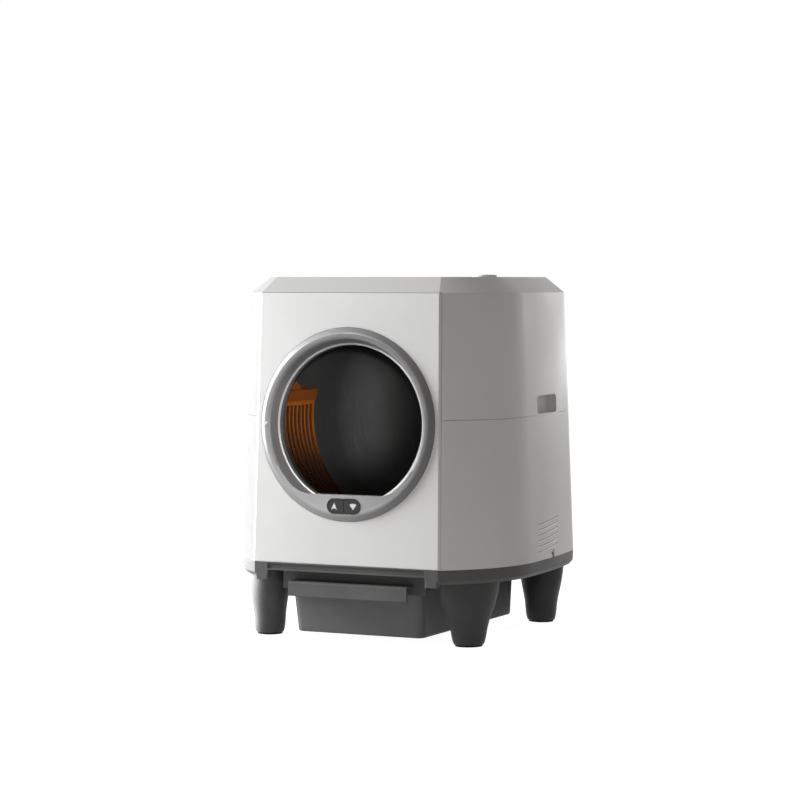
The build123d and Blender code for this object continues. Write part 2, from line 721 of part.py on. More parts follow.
with BuildPart() as entry_seal:
    with BuildSketch(panel.offset(-RING_DEPTH - WALL - SEAL)):
        Circle(entry_hole - 2.0)
        Circle(drum_mouth - 2.0, mode=Mode.SUBTRACT)
    extrude(amount=SEAL)
entry_seal.part.label = "entry_seal"
export_step(entry_seal.part, "parts/entry_seal.step")

mark_centre = -(crown_outer + crown_inner) / 2
with BuildPart() as index_mark:
    with BuildSketch(crown):
        Polygon(
            (mark_centre - 2.4, 3.0),
            (mark_centre - 2.4, -3.0),
            (mark_centre + 2.4, 0.0),
            align=None,
        )
    extrude(amount=0.4)
index_mark.part.label = "index_mark"
export_step(index_mark.part, "parts/index_mark.step")

# Control pill: circuit board at the bottom of its pocket, black bezel, two keys
BOARD = 1.6
BEZEL_WALL = 2.5
BEZEL_PROUD = 1.0
pill_floor = -PILL_DEPTH
with BuildPart() as key_board:
    with BuildSketch(crown.offset(pill_floor)):
        with Locations((0, -pill_drop)):
            SlotOverall(PILL_LENGTH - 1.0, PILL_WIDTH - 1.0)
    extrude(amount=BOARD)
key_board.part.label = "key_board"
export_step(key_board.part, "parts/key_board.step")

with BuildPart() as control_bezel:
    with BuildSketch(crown.offset(pill_floor + BOARD)):
        with Locations((0, -pill_drop)):
            SlotOverall(PILL_LENGTH, PILL_WIDTH)
            SlotOverall(PILL_LENGTH - 2 * BEZEL_WALL, PILL_WIDTH - 2 * BEZEL_WALL, mode=Mode.SUBTRACT)
    extrude(amount=PILL_DEPTH - BOARD + BEZEL_PROUD)
control_bezel.part.label = "control_bezel"
export_step(control_bezel.part, "parts/control_bezel.step")

key_length = PILL_LENGTH - 2 * BEZEL_WALL - 2 * KEY_GAP
key_width = PILL_WIDTH - 2 * BEZEL_WALL - 2 * KEY_GAP
with BuildPart() as key_right:
    with BuildSketch(crown.offset(KEY_PROUD - KEY_HEIGHT)):
        with Locations((0, -pill_drop)):
            SlotOverall(key_length, key_width)
        with Locations((KEY_GAP - PILL_LENGTH, -pill_drop)):
            Rectangle(2 * PILL_LENGTH, 2 * PILL_WIDTH, mode=Mode.SUBTRACT)
    extrude(amount=KEY_HEIGHT)
key_right.part.label = "key_right"
export_step(key_right.part, "parts/key_right.step")

with BuildPart() as key_left:
    mirror(key_right.part, about=Plane.YZ)
key_left.part.label = "key_left"
export_step(key_left.part, "parts/key_left.step")

# Upper cover: sides, rear and chamfered top in one lift-off shell, open behind the front panel
WELL_RADIUS = 16.0
cover_foot = SEAM_Z + SEAM_GAP
with BuildPart() as upper_cover:
    loft(sections=[plan(cover_foot, skin(cover_foot)), plan(knee_z, skin(knee_z))], ruled=True)
    loft(sections=[plan(knee_z, skin(knee_z)), plan(HEIGHT, skin(knee_z) + CHAMFER_INSET)], ruled=True)
    add(cover_hollow.part, mode=Mode.SUBTRACT)
    add(cover_zone.part, mode=Mode.SUBTRACT)
    with BuildSketch(Plane.YZ):
        with Locations((GRIP_Y, grip_z)):
            RectangleRounded(GRIP_LENGTH, GRIP_HEIGHT, GRIP_CORNER)
    extrude(amount=BODY_WIDTH, both=True, mode=Mode.SUBTRACT)
    with BuildSketch(Plane.XY.offset(ceiling_z)):
        with Locations(CAP_AT):
            Circle(WELL_RADIUS)
    extrude(amount=2 * WALL, mode=Mode.SUBTRACT)
upper_cover.part.label = "upper_cover"
export_step(upper_cover.part, "parts/upper_cover.step")

flank_at_grip = flank_centre[0] + sqrt(FLANK_RADIUS**2 - (GRIP_Y - widest_y) ** 2)
grip_floor = flank_at_grip - skin(grip_z) - GRIP_DEPTH
with BuildPart() as grip_cup_right:
    with BuildSketch(Plane.YZ.offset(grip_floor - GRIP_WALL)):
        with Locations((GRIP_Y, grip_z)):
            RectangleRounded(
                GRIP_LENGTH + 2 * GRIP_WALL, GRIP_HEIGHT + 2 * GRIP_WALL, GRIP_CORNER + GRIP_WALL
            )
    extrude(amount=3 * GRIP_DEPTH)
    add(cover_hollow.part, mode=Mode.INTERSECT)
    with BuildSketch(Plane.YZ.offset(grip_floor)):
        with Locations((GRIP_Y, grip_z)):
            RectangleRounded(GRIP_LENGTH, GRIP_HEIGHT, GRIP_CORNER)
    extrude(amount=3 * GRIP_DEPTH, mode=Mode.SUBTRACT)
grip_cup_right.part.label = "grip_cup_right"
export_step(grip_cup_right.part, "parts/grip_cup_right.step")

with BuildPart() as grip_cup_left:
    mirror(grip_cup_right.part, about=Plane.YZ)
grip_cup_left.part.label = "grip_cup_left"
export_step(grip_cup_left.part, "parts/grip_cup_left.step")

# Odour cartridge: cup under the ceiling, puck, and the low twist cap on top
CUP_DEPTH = 27.0
CUP_WALL = 2.0
PUCK_HEIGHT = 12.0
cup_floor = ceiling_z - CUP_DEPTH
with BuildPart() as cartridge_cup:
    with BuildSketch(Plane.XY.offset(cup_floor)):
        with Locations(CAP_AT):
            Circle(WELL_RADIUS + CUP_WALL)
    extrude(amount=CUP_DEPTH)
    with BuildSketch(Plane.XY.offset(ceiling_z - CUP_WALL)):
        with Locations(CAP_AT):
            Circle(WELL_RADIUS + 4 * CUP_WALL)
    extrude(amount=CUP_WALL)
    with BuildSketch(Plane.XY.offset(cup_floor + CUP_WALL)):
        with Locations(CAP_AT):
            Circle(WELL_RADIUS)
    extrude(amount=CUP_DEPTH, mode=Mode.SUBTRACT)
cartridge_cup.part.label = "cartridge_cup"
export_step(cartridge_cup.part, "parts/cartridge_cup.step")

with BuildPart() as odour_cartridge:
    with BuildSketch(Plane.XY.offset(cup_floor + CUP_WALL)):
        with Locations(CAP_AT):
            Circle(WELL_RADIUS - 0.5)
    extrude(amount=PUCK_HEIGHT)
odour_cartridge.part.label = "odour_cartridge"
export_step(odour_cartridge.part, "parts/odour_cartridge.step")

CAP_GAP = 0.2
CAP_SKIRT = 12.0
with BuildPart() as cartridge_cap:
    with BuildSketch(Plane.XY.offset(HEIGHT + CAP_GAP)):
        with Locations(CAP_AT):
            Circle(CAP_RADIUS)
    extrude(amount=CAP_HEIGHT - CAP_GAP)
    fillet(cartridge_cap.faces().sort_by(Axis.Z)[-1].edges(), 1.5)
    with BuildSketch(Plane.XY.offset(HEIGHT + CAP_GAP - CAP_SKIRT)):
        with Locations(CAP_AT):
            Circle(WELL_RADIUS - KEY_GAP)
            Circle(WELL_RADIUS - KEY_GAP - CUP_WALL, mode=Mode.SUBTRACT)
    extrude(amount=CAP_SKIRT)
    with BuildSketch(Plane.XY.offset(HEIGHT + CAP_HEIGHT)):
        with Locations(CAP_AT):
            SlotOverall(1.2 * CAP_RADIUS, 3.0)
    extrude(amount=-1.5, mode=Mode.SUBTRACT)
cartridge_cap.part.label = "cartridge_cap"
export_step(cartridge_cap.part, "parts/cartridge_cap.step")

# Drum: front and rear halves bolted at a flange, with the waste port behind the sifting screen
BOLT_COUNT = 8
BOLT_RADIUS = 1.5
BOLT_GAP = 0.1
bolt_circle = drum_radius + FLANGE / 2
big = 2 * BODY_WIDTH
with BuildPart() as drum_front:
    add(drum_section(0.0))
    revolve(axis=drum_axis)
    add(drum_hollow.part, mode=Mode.SUBTRACT)
    with Locations((0, split_y + big / 2, entry_z)):
        Box(big, big, big, mode=Mode.SUBTRACT)
    with BuildSketch(axis_plane(split_y)):
        Circle(drum_radius + FLANGE)
        Circle(drum_radius - DRUM_WALL / 2, mode=Mode.SUBTRACT)
    extrude(amount=FLANGE_WALL)
    with BuildSketch(axis_plane(shoulder_y)):
        Circle(drum_mouth)
    extrude(amount=big, mode=Mode.SUBTRACT)
    with BuildSketch(axis_plane(drum_front_y + 6.0)):
        Circle(drum_mouth + 2 * DRUM_WALL)
        Circle(drum_mouth, mode=Mode.SUBTRACT)
    extrude(amount=6.0)
    with BuildSketch(axis_plane(port_y[1])):
        add(sector(drum_radius - 6 * DRUM_WALL, drum_radius + FLANGE, PORT_FROM, PORT_TO))
    extrude(amount=port_y[1] - port_y[0], mode=Mode.SUBTRACT)
    with BuildSketch(axis_plane(roller_y + TRACK_WIDTH / 2)):
        Circle(drum_radius)
        Circle(drum_radius - 4 * DRUM_WALL, mode=Mode.SUBTRACT)
    extrude(amount=TRACK_WIDTH)
    add(drum_hollow.part, mode=Mode.SUBTRACT)
    with BuildSketch(axis_plane(split_y)):
        with PolarLocations(bolt_circle, BOLT_COUNT):
            Circle(BOLT_RADIUS + BOLT_GAP)
    extrude(amount=FLANGE_WALL, mode=Mode.SUBTRACT)
drum_front.part.label = "drum_front"
export_step(drum_front.part, "parts/drum_front.step")

AXLE_FLANGE = 34.0
AXLE_PLATE = 5.0
AXLE_BOLTS = 25.0
with BuildPart() as drum_rear:
    add(drum_section(0.0))
    revolve(axis=drum_axis)
    add(drum_hollow.part, mode=Mode.SUBTRACT)
    with Locations((0, split_y - big / 2, entry_z)):
        Box(big, big, big, mode=Mode.SUBTRACT)
    with BuildSketch(axis_plane(split_y + FLANGE_WALL)):
        Circle(drum_radius + FLANGE)
        Circle(drum_radius - DRUM_WALL / 2, mode=Mode.SUBTRACT)
    extrude(amount=FLANGE_WALL)
    with BuildSketch(axis_plane(gear_y + GEAR_FACE)):
        Circle(drum_radius)
        Circle(drum_radius - 4 * DRUM_WALL, mode=Mode.SUBTRACT)
    extrude(amount=GEAR_FACE)
    add(drum_hollow.part, mode=Mode.SUBTRACT)
    with BuildSketch(axis_plane(split_y + FLANGE_WALL)):
        with PolarLocations(bolt_circle, BOLT_COUNT):
            Circle(BOLT_RADIUS + BOLT_GAP)
    extrude(amount=FLANGE_WALL, mode=Mode.SUBTRACT)
    with BuildSketch(axis_plane(drum_rear_y)):
        with PolarLocations(AXLE_BOLTS, 4):
            Circle(BOLT_RADIUS + BOLT_GAP)
    extrude(amount=DRUM_WALL, mode=Mode.SUBTRACT)
drum_rear.part.label = "drum_rear"
export_step(drum_rear.part, "parts/drum_rear.step")

HEAD_RADIUS = 2.8
HEAD_HEIGHT = 2.2
with BuildPart() as drum_screws:
    with BuildSketch(axis_plane(split_y + FLANGE_WALL)):
        with PolarLocations(bolt_circle, BOLT_COUNT):
            Circle(BOLT_RADIUS)
    extrude(amount=2 * FLANGE_WALL)
    with BuildSketch(axis_plane(split_y - FLANGE_WALL)):
        with PolarLocations(bolt_circle, BOLT_COUNT):
            Circle(HEAD_RADIUS)
    extrude(amount=HEAD_HEIGHT)
    with BuildSketch(axis_plane(split_y + FLANGE_WALL + HEAD_HEIGHT)):
        with PolarLocations(bolt_circle, BOLT_COUNT):
            RegularPolygon(HEAD_RADIUS, 6)
    extrude(amount=HEAD_HEIGHT)
drum_screws.part.label = "drum_screws"
export_step(drum_screws.part, "parts/drum_screws.step")

# Drum axle, running in the bush of the rear pedestal
PEDESTAL_GAP = 16.0
PEDESTAL_WALL = 20.0
AXLE_TAIL = 4.0
pedestal_y = drum_rear_y + PEDESTAL_GAP
axle_end = pedestal_y + PEDESTAL_WALL + AXLE_TAIL
with BuildPart() as drum_axle:
    with BuildSketch(axis_plane(drum_rear_y + AXLE_PLATE)):
        Circle(AXLE_FLANGE)
        with PolarLocations(AXLE_BOLTS, 4):
            Circle(BOLT_RADIUS + BOLT_GAP, mode=Mode.SUBTRACT)
    extrude(amount=AXLE_PLATE)
    with BuildSketch(axis_plane(axle_end)):
        Circle(AXLE_RADIUS)
    extrude(amount=axle_end - drum_rear_y - AXLE_PLATE)
drum_axle.part.label = "drum_axle"
export_step(drum_axle.part, "parts/drum_axle.step")

with BuildPart() as axle_screws:
    with BuildSketch(axis_plane(drum_rear_y + AXLE_PLATE)):
        with PolarLocations(AXLE_BOLTS, 4):
            Circle(BOLT_RADIUS)
    extrude(amount=AXLE_PLATE + DRUM_WALL)
    with BuildSketch(axis_plane(drum_rear_y + AXLE_PLATE + HEAD_HEIGHT)):
        with PolarLocations(AXLE_BOLTS, 4):
            Circle(HEAD_RADIUS)
    extrude(amount=HEAD_HEIGHT)
axle_screws.part.label = "axle_screws"
export_step(axle_screws.part, "parts/axle_screws.step")

MAGNET_RADIUS = 5.0
MAGNET_DROP = 42.0
MAGNET = 4.0
with BuildPart() as drum_magnet:
    with BuildSketch(axis_plane(drum_rear_y + MAGNET)):
        with Locations((0, -MAGNET_DROP)):
            Circle(MAGNET_RADIUS)
    extrude(amount=MAGNET)
drum_magnet.part.label = "drum_magnet"
export_step(drum_magnet.part, "parts/drum_magnet.step")

with BuildPart() as axle_bush:
    with BuildSketch(axis_plane(pedestal_y + PEDESTAL_WALL)):
        Circle(1.5 * AXLE_RADIUS)
    extrude(amount=PEDESTAL_WALL)
    with BuildSketch(axis_plane(pedestal_y)):
        Circle(1.8 * AXLE_RADIUS)
    extrude(amount=3.0)
    with BuildSketch(axis_plane(pedestal_y + PEDESTAL_WALL)):
        Circle(AXLE_RADIUS + RUN_GAP)
    extrude(amount=2 * PEDESTAL_WALL, mode=Mode.SUBTRACT)
axle_bush.part.label = "axle_bush"
export_step(axle_bush.part, "parts/axle_bush.step")

# Rear pedestal: an A-frame on the deck
axis_height = entry_z - SHELL_BOTTOM
FOOT_HALF = 62.0
HEAD_HALF = 28.0
with BuildPart() as rear_pedestal:
    with BuildSketch(axis_plane(pedestal_y + PEDESTAL_WALL)):
        Polygon(
            (-FOOT_HALF, -axis_height),
            (FOOT_HALF, -axis_height),
            (HEAD_HALF, 0),
            (-HEAD_HALF, 0),
            align=None,
        )
        Circle(HEAD_HALF)
        Circle(1.5 * AXLE_RADIUS, mode=Mode.SUBTRACT)
        Polygon(
            (-0.7 * FOOT_HALF, 20.0 - axis_height),
            (0.7 * FOOT_HALF, 20.0 - axis_height),
            (0.7 * HEAD_HALF, -MAGNET_DROP - 10.0),
            (-0.7 * HEAD_HALF, -MAGNET_DROP - 10.0),
            align=None,
            mode=Mode.SUBTRACT,
        )
    extrude(amount=PEDESTAL_WALL)
    with Locations((0, pedestal_y + PEDESTAL_WALL / 2, SHELL_BOTTOM + 3.0)):
        Box(2 * FOOT_HALF + 20.0, PEDESTAL_WALL + 16.0, 6.0)
rear_pedestal.part.label = "rear_pedestal"
export_step(rear_pedestal.part, "parts/rear_pedestal.step")

with BuildPart() as hall_sensor:
    with BuildSketch(axis_plane(pedestal_y)):
        with Locations((0, -MAGNET_DROP)):
            Rectangle(16.0, 12.0)
    extrude(amount=8.0)
hall_sensor.part.label = "hall_sensor"
export_step(hall_sensor.part, "parts/hall_sensor.step")

# Sifting screen: curved bars on two rails, with a cheek at each end that reaches the drum's wall
bar_count = int((sifter_y[1] - sifter_y[0] - BAR_WIDTH) / BAR_PITCH) + 1
sifter_length = sifter_y[1] - sifter_y[0]
sifter_inner = sifter_radius - SIFTER_WALL
CHEEK = 3.0
with BuildPart() as sifter_screen:
    with BuildSketch(axis_plane(sifter_y[0] + CHEEK)):
        add(sector(sifter_inner, drum_radius, SIFTER_TOP, SIFTER_FOOT))
    extrude(amount=CHEEK)
    with BuildSketch(axis_plane(sifter_y[1])):
        add(sector(sifter_inner, drum_radius, SIFTER_TOP, SIFTER_FOOT))
    extrude(amount=CHEEK)
    add(drum_hollow.part, mode=Mode.INTERSECT)
    for bar in range(bar_count):
        with BuildSketch(axis_plane(sifter_y[0] + bar * BAR_PITCH + BAR_WIDTH)):
            add(sector(sifter_inner, sifter_radius, SIFTER_TOP, SIFTER_FOOT))
        extrude(amount=BAR_WIDTH)
    with BuildSketch(axis_plane(sifter_y[1])):
        add(sector(sifter_inner, sifter_radius, SIFTER_TOP, SIFTER_TOP + 2.5))
        add(sector(sifter_inner, sifter_radius, SIFTER_FOOT - 2.5, SIFTER_FOOT))
    extrude(amount=sifter_length)
sifter_screen.part.label = "sifter_screen"
export_step(sifter_screen.part, "parts/sifter_screen.step")

# Bracket above the screen, with its peaked latch tab
tab_y = (sifter_y[0] + sifter_y[1]) / 2
holder_inner = sifter_inner - HOLDER_PROUD
holder_top = entry_z + sifter_radius * sin(radians(HOLDER_TOP))
tab_foot = holder_top - HOLDER_PROUD
with BuildPart() as sifter_bracket:
    with BuildSketch(axis_plane(sifter_y[1])):
        add(sector(holder_inner, drum_radius, HOLDER_TOP, SIFTER_TOP))
    extrude(amount=sifter_length)
    with BuildSketch(Plane.YZ.offset(-sifter_radius)):
        Polygon(
            (tab_y - TAB_HALF, tab_foot),
            (tab_y + TAB_HALF, tab_foot),
            (tab_y, holder_top + TAB_HEIGHT),
            align=None,
        )
    extrude(amount=TAB_WALL)
    add(drum_hollow.part, mode=Mode.INTERSECT)
sifter_bracket.part.label = "sifter_bracket"
export_step(sifter_bracket.part, "parts/sifter_bracket.step")

# Drive: ring gear on the drum, pinion on the geared motor's shaft
with BuildPart() as drum_gear:
    with BuildSketch(axis_plane(gear_y + GEAR_FACE)):
        add(gear_face(drum_teeth, MESH_ANGLE))
        Circle(drum_radius, mode=Mode.SUBTRACT)
    extrude(amount=GEAR_FACE)
drum_gear.part.label = "drum_gear"
export_step(drum_gear.part, "parts/drum_gear.step")

MESH_GAP = 0.1
mesh = polar((0, 0), MODULE * (drum_teeth + PINION_TEETH) / 2 + MESH_GAP, radians(MESH_ANGLE))
HUB_RADIUS = 9.0
HUB_LENGTH = 6.0
with BuildPart() as drive_pinion:
    with BuildSketch(axis_plane(gear_y + GEAR_FACE)):
        with Locations(mesh):
            add(gear_face(PINION_TEETH, MESH_ANGLE + 180.0 + 180.0 / PINION_TEETH))
            Circle(SHAFT_RADIUS, mode=Mode.SUBTRACT)
    extrude(amount=GEAR_FACE)
    with BuildSketch(axis_plane(gear_y + GEAR_FACE + HUB_LENGTH)):
        with Locations(mesh):
            Circle(HUB_RADIUS)
            Circle(SHAFT_RADIUS, mode=Mode.SUBTRACT)
    extrude(amount=HUB_LENGTH)
drive_pinion.part.label = "drive_pinion"
export_step(drive_pinion.part, "parts/drive_pinion.step")

BRACKET_Y = gear_y + GEAR_FACE + HUB_LENGTH + 4.0
BRACKET_PLATE = 4.0
gearbox_y = BRACKET_Y + BRACKET_PLATE
GEARBOX = 46.0
GEARBOX_LENGTH = 30.0
CAN_RADIUS = 19.0
CAN_LENGTH = 44.0
SHAFT_SEAT = 14.0
with BuildPart() as motor_shaft:
    with BuildSketch(axis_plane(gearbox_y + SHAFT_SEAT)):
        with Locations(mesh):
            Circle(SHAFT_RADIUS)
    extrude(amount=gearbox_y + SHAFT_SEAT - gear_y + 2.0)
motor_shaft.part.label = "motor_shaft"
export_step(motor_shaft.part, "parts/motor_shaft.step")

motor_bolts = GEARBOX / 2 - 5.0
with BuildPart() as gear_motor:
    with BuildSketch(axis_plane(gearbox_y + GEARBOX_LENGTH)):
        with Locations(mesh):
            RectangleRounded(GEARBOX, GEARBOX, 5.0)
    extrude(amount=GEARBOX_LENGTH)
    with BuildSketch(axis_plane(gearbox_y + GEARBOX_LENGTH + CAN_LENGTH)):
        with Locations(mesh):
            Circle(CAN_RADIUS)
    extrude(amount=CAN_LENGTH)
    with BuildSketch(axis_plane(gearbox_y + SHAFT_SEAT + 1.0)):
        with Locations(mesh):
            Circle(SHAFT_RADIUS + RUN_GAP)
    extrude(amount=SHAFT_SEAT + 1.0, mode=Mode.SUBTRACT)
    with BuildSketch(axis_plane(gearbox_y + SHAFT_SEAT)):
        with Locations(mesh):
            with GridLocations(2 * motor_bolts, 2 * motor_bolts, 2, 2):
                Circle(BOLT_RADIUS + 0.05)
    extrude(amount=SHAFT_SEAT, mode=Mode.SUBTRACT)
gear_motor.part.label = "gear_motor"
export_step(gear_motor.part, "parts/gear_motor.step")

plate_half = GEARBOX / 2 + 8.0
with BuildPart() as motor_bracket:
    with BuildSketch(axis_plane(gearbox_y)):
        with Locations((mesh[0], (mesh[1] + plate_half - axis_height) / 2)):
            Rectangle(2 * plate_half, mesh[1] + plate_half + axis_height)
        with Locations(mesh):
            Circle(HUB_RADIUS + 2.0, mode=Mode.SUBTRACT)
            with GridLocations(2 * motor_bolts, 2 * motor_bolts, 2, 2):
                Circle(BOLT_RADIUS + BOLT_GAP, mode=Mode.SUBTRACT)
        Circle(drum_radius + 5.0, mode=Mode.SUBTRACT)
    extrude(amount=BRACKET_PLATE)
    with Locations((mesh[0], gearbox_y + GEARBOX_LENGTH / 2, SHELL_BOTTOM + BRACKET_PLATE / 2)):
        Box(2 * plate_half, GEARBOX_LENGTH, BRACKET_PLATE)
motor_bracket.part.label = "motor_bracket"
export_step(motor_bracket.part, "parts/motor_bracket.step")

with BuildPart() as motor_screws:
    with BuildSketch(axis_plane(gearbox_y + 10.0)):
        with Locations(mesh):
            with GridLocations(2 * motor_bolts, 2 * motor_bolts, 2, 2):
                Circle(BOLT_RADIUS)
    extrude(amount=10.0 + BRACKET_PLATE)
    with BuildSketch(axis_plane(BRACKET_Y)):
        with Locations(mesh):
            with GridLocations(2 * motor_bolts, 2 * motor_bolts, 2, 2):
                Circle(HEAD_RADIUS)
    extrude(amount=HEAD_HEIGHT)
motor_screws.part.label = "motor_screws"
export_step(motor_screws.part, "parts/motor_screws.step")

# Front support rollers, one each side under the drum
FORK = 4.0
FORK_GAP = 1.0
FORK_FOOT = 18.0
FORK_HEAD = 8.0
PLATE_REACH = 4.0
PLATE_END = 6.0
fork_in = ROLLER_WIDTH / 2 + FORK_GAP
fork_out = fork_in + FORK
with BuildPart() as roller_right:
    with BuildSketch(axis_plane(roller_y + ROLLER_WIDTH / 2)):
        with Locations(roller):
            Circle(ROLLER_RADIUS)
            Circle(PIN_RADIUS + RUN_GAP, mode=Mode.SUBTRACT)
    extrude(amount=ROLLER_WIDTH)
    rims = [e for e in roller_right.edges() if e.geom_type == GeomType.CIRCLE]
    chamfer([e for e in rims if abs(e.radius - ROLLER_RADIUS) < 0.01], 1.0)
roller_right.part.label = "roller_right"
export_step(roller_right.part, "parts/roller_right.step")

with BuildPart() as roller_left:
    mirror(roller_right.part, about=Plane.YZ)
roller_left.part.label = "roller_left"
export_step(roller_left.part, "parts/roller_left.step")

with BuildPart() as roller_pins:
    with BuildSketch(axis_plane(roller_y + fork_out + 1.0)):
        with Locations(roller, (-roller[0], roller[1])):
            Circle(PIN_RADIUS)
    extrude(amount=2 * fork_out + 2.0)
roller_pins.part.label = "roller_pins"
export_step(roller_pins.part, "parts/roller_pins.step")

with BuildPart() as roller_brackets:
    for cheek_y in (roller_y + fork_out, roller_y - fork_in):
        with BuildSketch(axis_plane(cheek_y)):
            for side in (1, -1):
                Polygon(
                    (side * roller[0] - FORK_FOOT, -axis_height),
                    (side * roller[0] + FORK_FOOT, -axis_height),
                    (side * roller[0] + FORK_HEAD, roller[1] + 2 * PIN_RADIUS),
                    (side * roller[0] - FORK_HEAD, roller[1] + 2 * PIN_RADIUS),
                    align=None,
                )
            with Locations(roller, (-roller[0], roller[1])):
                Circle(PIN_RADIUS, mode=Mode.SUBTRACT)
        extrude(amount=FORK)
    for side in (1, -1):
        with Locations((side * roller[0], roller_y, SHELL_BOTTOM + FORK / 2)):
            Box(2 * (FORK_FOOT + PLATE_REACH), 2 * (fork_out + PLATE_END), FORK)
roller_brackets.part.label = "roller_brackets"
export_step(roller_brackets.part, "parts/roller_brackets.step")

# Waste chute through the deck, under the port's path
with BuildPart() as waste_chute:
    with Locations((0, chute_centre, SHELL_BOTTOM)):
        Box(2 * (chute_half + CHUTE_WALL), chute_depth + 2 * CHUTE_WALL, 2 * CHUTE_REACH)
    with Locations((0, chute_centre, SHELL_BOTTOM + CHUTE_WALL / 2)):
        Box(
            2 * (chute_half + CHUTE_WALL + CHUTE_FLANGE),
            chute_depth + 2 * (CHUTE_WALL + CHUTE_FLANGE),
            CHUTE_WALL,
        )
    with Locations((0, chute_centre, SHELL_BOTTOM)):
        Box(2 * chute_half, chute_depth, 4 * CHUTE_REACH, mode=Mode.SUBTRACT)
waste_chute.part.label = "waste_chute"
export_step(waste_chute.part, "parts/waste_chute.step")

with BuildPart() as deck_screws:
    with BuildSketch(Plane.XY.offset(deck_under)):
        with Locations(*boss_spots):
            Circle(SCREW_RADIUS)
    extrude(amount=DECK + BOSS_HEIGHT - 10.0)
    with BuildSketch(Plane.XY.offset(deck_under - 3.0)):
        with Locations(*boss_spots):
            Circle(3.4)
    extrude(amount=3.0)
deck_screws.part.label = "deck_screws"
export_step(deck_screws.part, "parts/deck_screws.step")

# Control board on four standoffs at the right wall, and the power socket
STANDOFF = 18.0
BOARD_LENGTH = 130.0
BOARD_HEIGHT = 68.0
BOARD_RISE = 54.0
CHIP = 24.0
CHIP_HEIGHT = 4.0
RELAY = 16.0
RELAY_HEIGHT = 12.0
CAPACITOR_RADIUS = 5.0
CAPACITOR = 5.0
board_x = flank_at_grip - WALL - STANDOFF - skin(SHELL_BOTTOM + BOARD_RISE)
board_z = SHELL_BOTTOM + BOARD_RISE
part_x = board_x - BOARD
with BuildPart() as control_board:
    with Locations((board_x - BOARD / 2, 0, board_z)):
        Box(BOARD, BOARD_LENGTH, BOARD_HEIGHT)
    with Locations((part_x - CHIP_HEIGHT / 2, -CHIP, board_z + CHIP / 3)):
        Box(CHIP_HEIGHT, CHIP, CHIP)
    with Locations((part_x - RELAY_HEIGHT / 2, 2 * RELAY, board_z)):
        with GridLocations(0, 1.5 * RELAY, 1, 2):
            Box(RELAY_HEIGHT, RELAY, RELAY)
    with Locations((part_x - CAPACITOR, 0, board_z - 4 * CAPACITOR_RADIUS)):
        with GridLocations(0, 2 * CHIP, 1, 2):
            Cylinder(CAPACITOR_RADIUS, 2 * CAPACITOR, rotation=(0, 90, 0))
control_board.part.label = "control_board"
export_step(control_board.part, "parts/control_board.step")

with BuildPart() as board_standoffs:
    with BuildSketch(Plane.YZ.offset(board_x)):
        with Locations((0, board_z)):
            with GridLocations(BOARD_LENGTH - 12.0, BOARD_HEIGHT - 14.0, 2, 2):
                Circle(3.5)
    extrude(amount=60.0)
    add(lower_hollow.part, mode=Mode.INTERSECT)
board_standoffs.part.label = "board_standoffs"
export_step(board_standoffs.part, "parts/board_standoffs.step")

socket_skin = flank_centre[0] + sqrt(FLANK_RADIUS**2 - (SOCKET_Y - widest_y) ** 2)
socket_face = socket_skin - 1.5
SOCKET_FIT = 0.2
socket_height = SOCKET_SIZE - SOCKET_FIT
with BuildPart() as power_socket:
    with Locations((socket_face - 8.0, SOCKET_Y, SHELL_BOTTOM + socket_height / 2)):
        Box(16.0, SOCKET_SIZE - 2 * SOCKET_FIT, socket_height)
    with Locations((socket_skin - WALL - 5.0, SOCKET_Y, SHELL_BOTTOM + socket_height / 2 + 1.5)):
        Box(7.0, SOCKET_SIZE + 6.0, socket_height + 3.0)
    with BuildSketch(Plane.YZ.offset(socket_face)):
        with Locations((SOCKET_Y, SHELL_BOTTOM + socket_height / 2)):
            Circle(SOCKET_BORE)
    extrude(amount=-11.0, mode=Mode.SUBTRACT)
power_socket.part.label = "power_socket"
export_step(power_socket.part, "parts/power_socket.step")

# Drawer: drafted bin with side rims that hang on the rails
bin_centre = (bin_rear_y + bin_front_y) / 2


def bin_face(z, inset):
    """Rounded plan of the bin at height z, moved in by its draft, its leaning front and inset."""
    step = (bin_top - z) * tan(radians(BIN_DRAFT)) + inset
    lean = (bin_top - z) * (tan(radians(BIN_LEAN)) - tan(radians(BIN_DRAFT)))
    with BuildSketch(Plane.XY.offset(z)) as outline:
        with Locations((0, bin_centre + lean / 2)):
            RectangleRounded(bin_width - 2 * step, bin_length - 2 * step - lean, BIN_CORNER - inset)
    return outline.sketch


rim_length = bin_length - 2 * BIN_CORNER
with BuildPart() as drawer_bin:
    loft(sections=[bin_face(BIN_BOTTOM, 0.0), bin_face(bin_top, 0.0)], ruled=True)
    fillet(drawer_bin.faces().sort_by(Axis.Z)[0].edges(), 4.0)
    for side in (1, -1):
        with Locations((side * (bin_width / 2 + RIM_REACH / 2 - 0.6), bin_centre, bin_top - RIM_THICK / 2)):
            Box(RIM_REACH + 1.2, rim_length, RIM_THICK)
    loft(
        sections=[bin_face(BIN_BOTTOM + BIN_WALL, BIN_WALL), bin_face(bin_top, BIN_WALL)],
        ruled=True,
        mode=Mode.SUBTRACT,
    )
drawer_bin.part.label = "drawer_bin"
export_step(drawer_bin.part, "parts/drawer_bin.step")

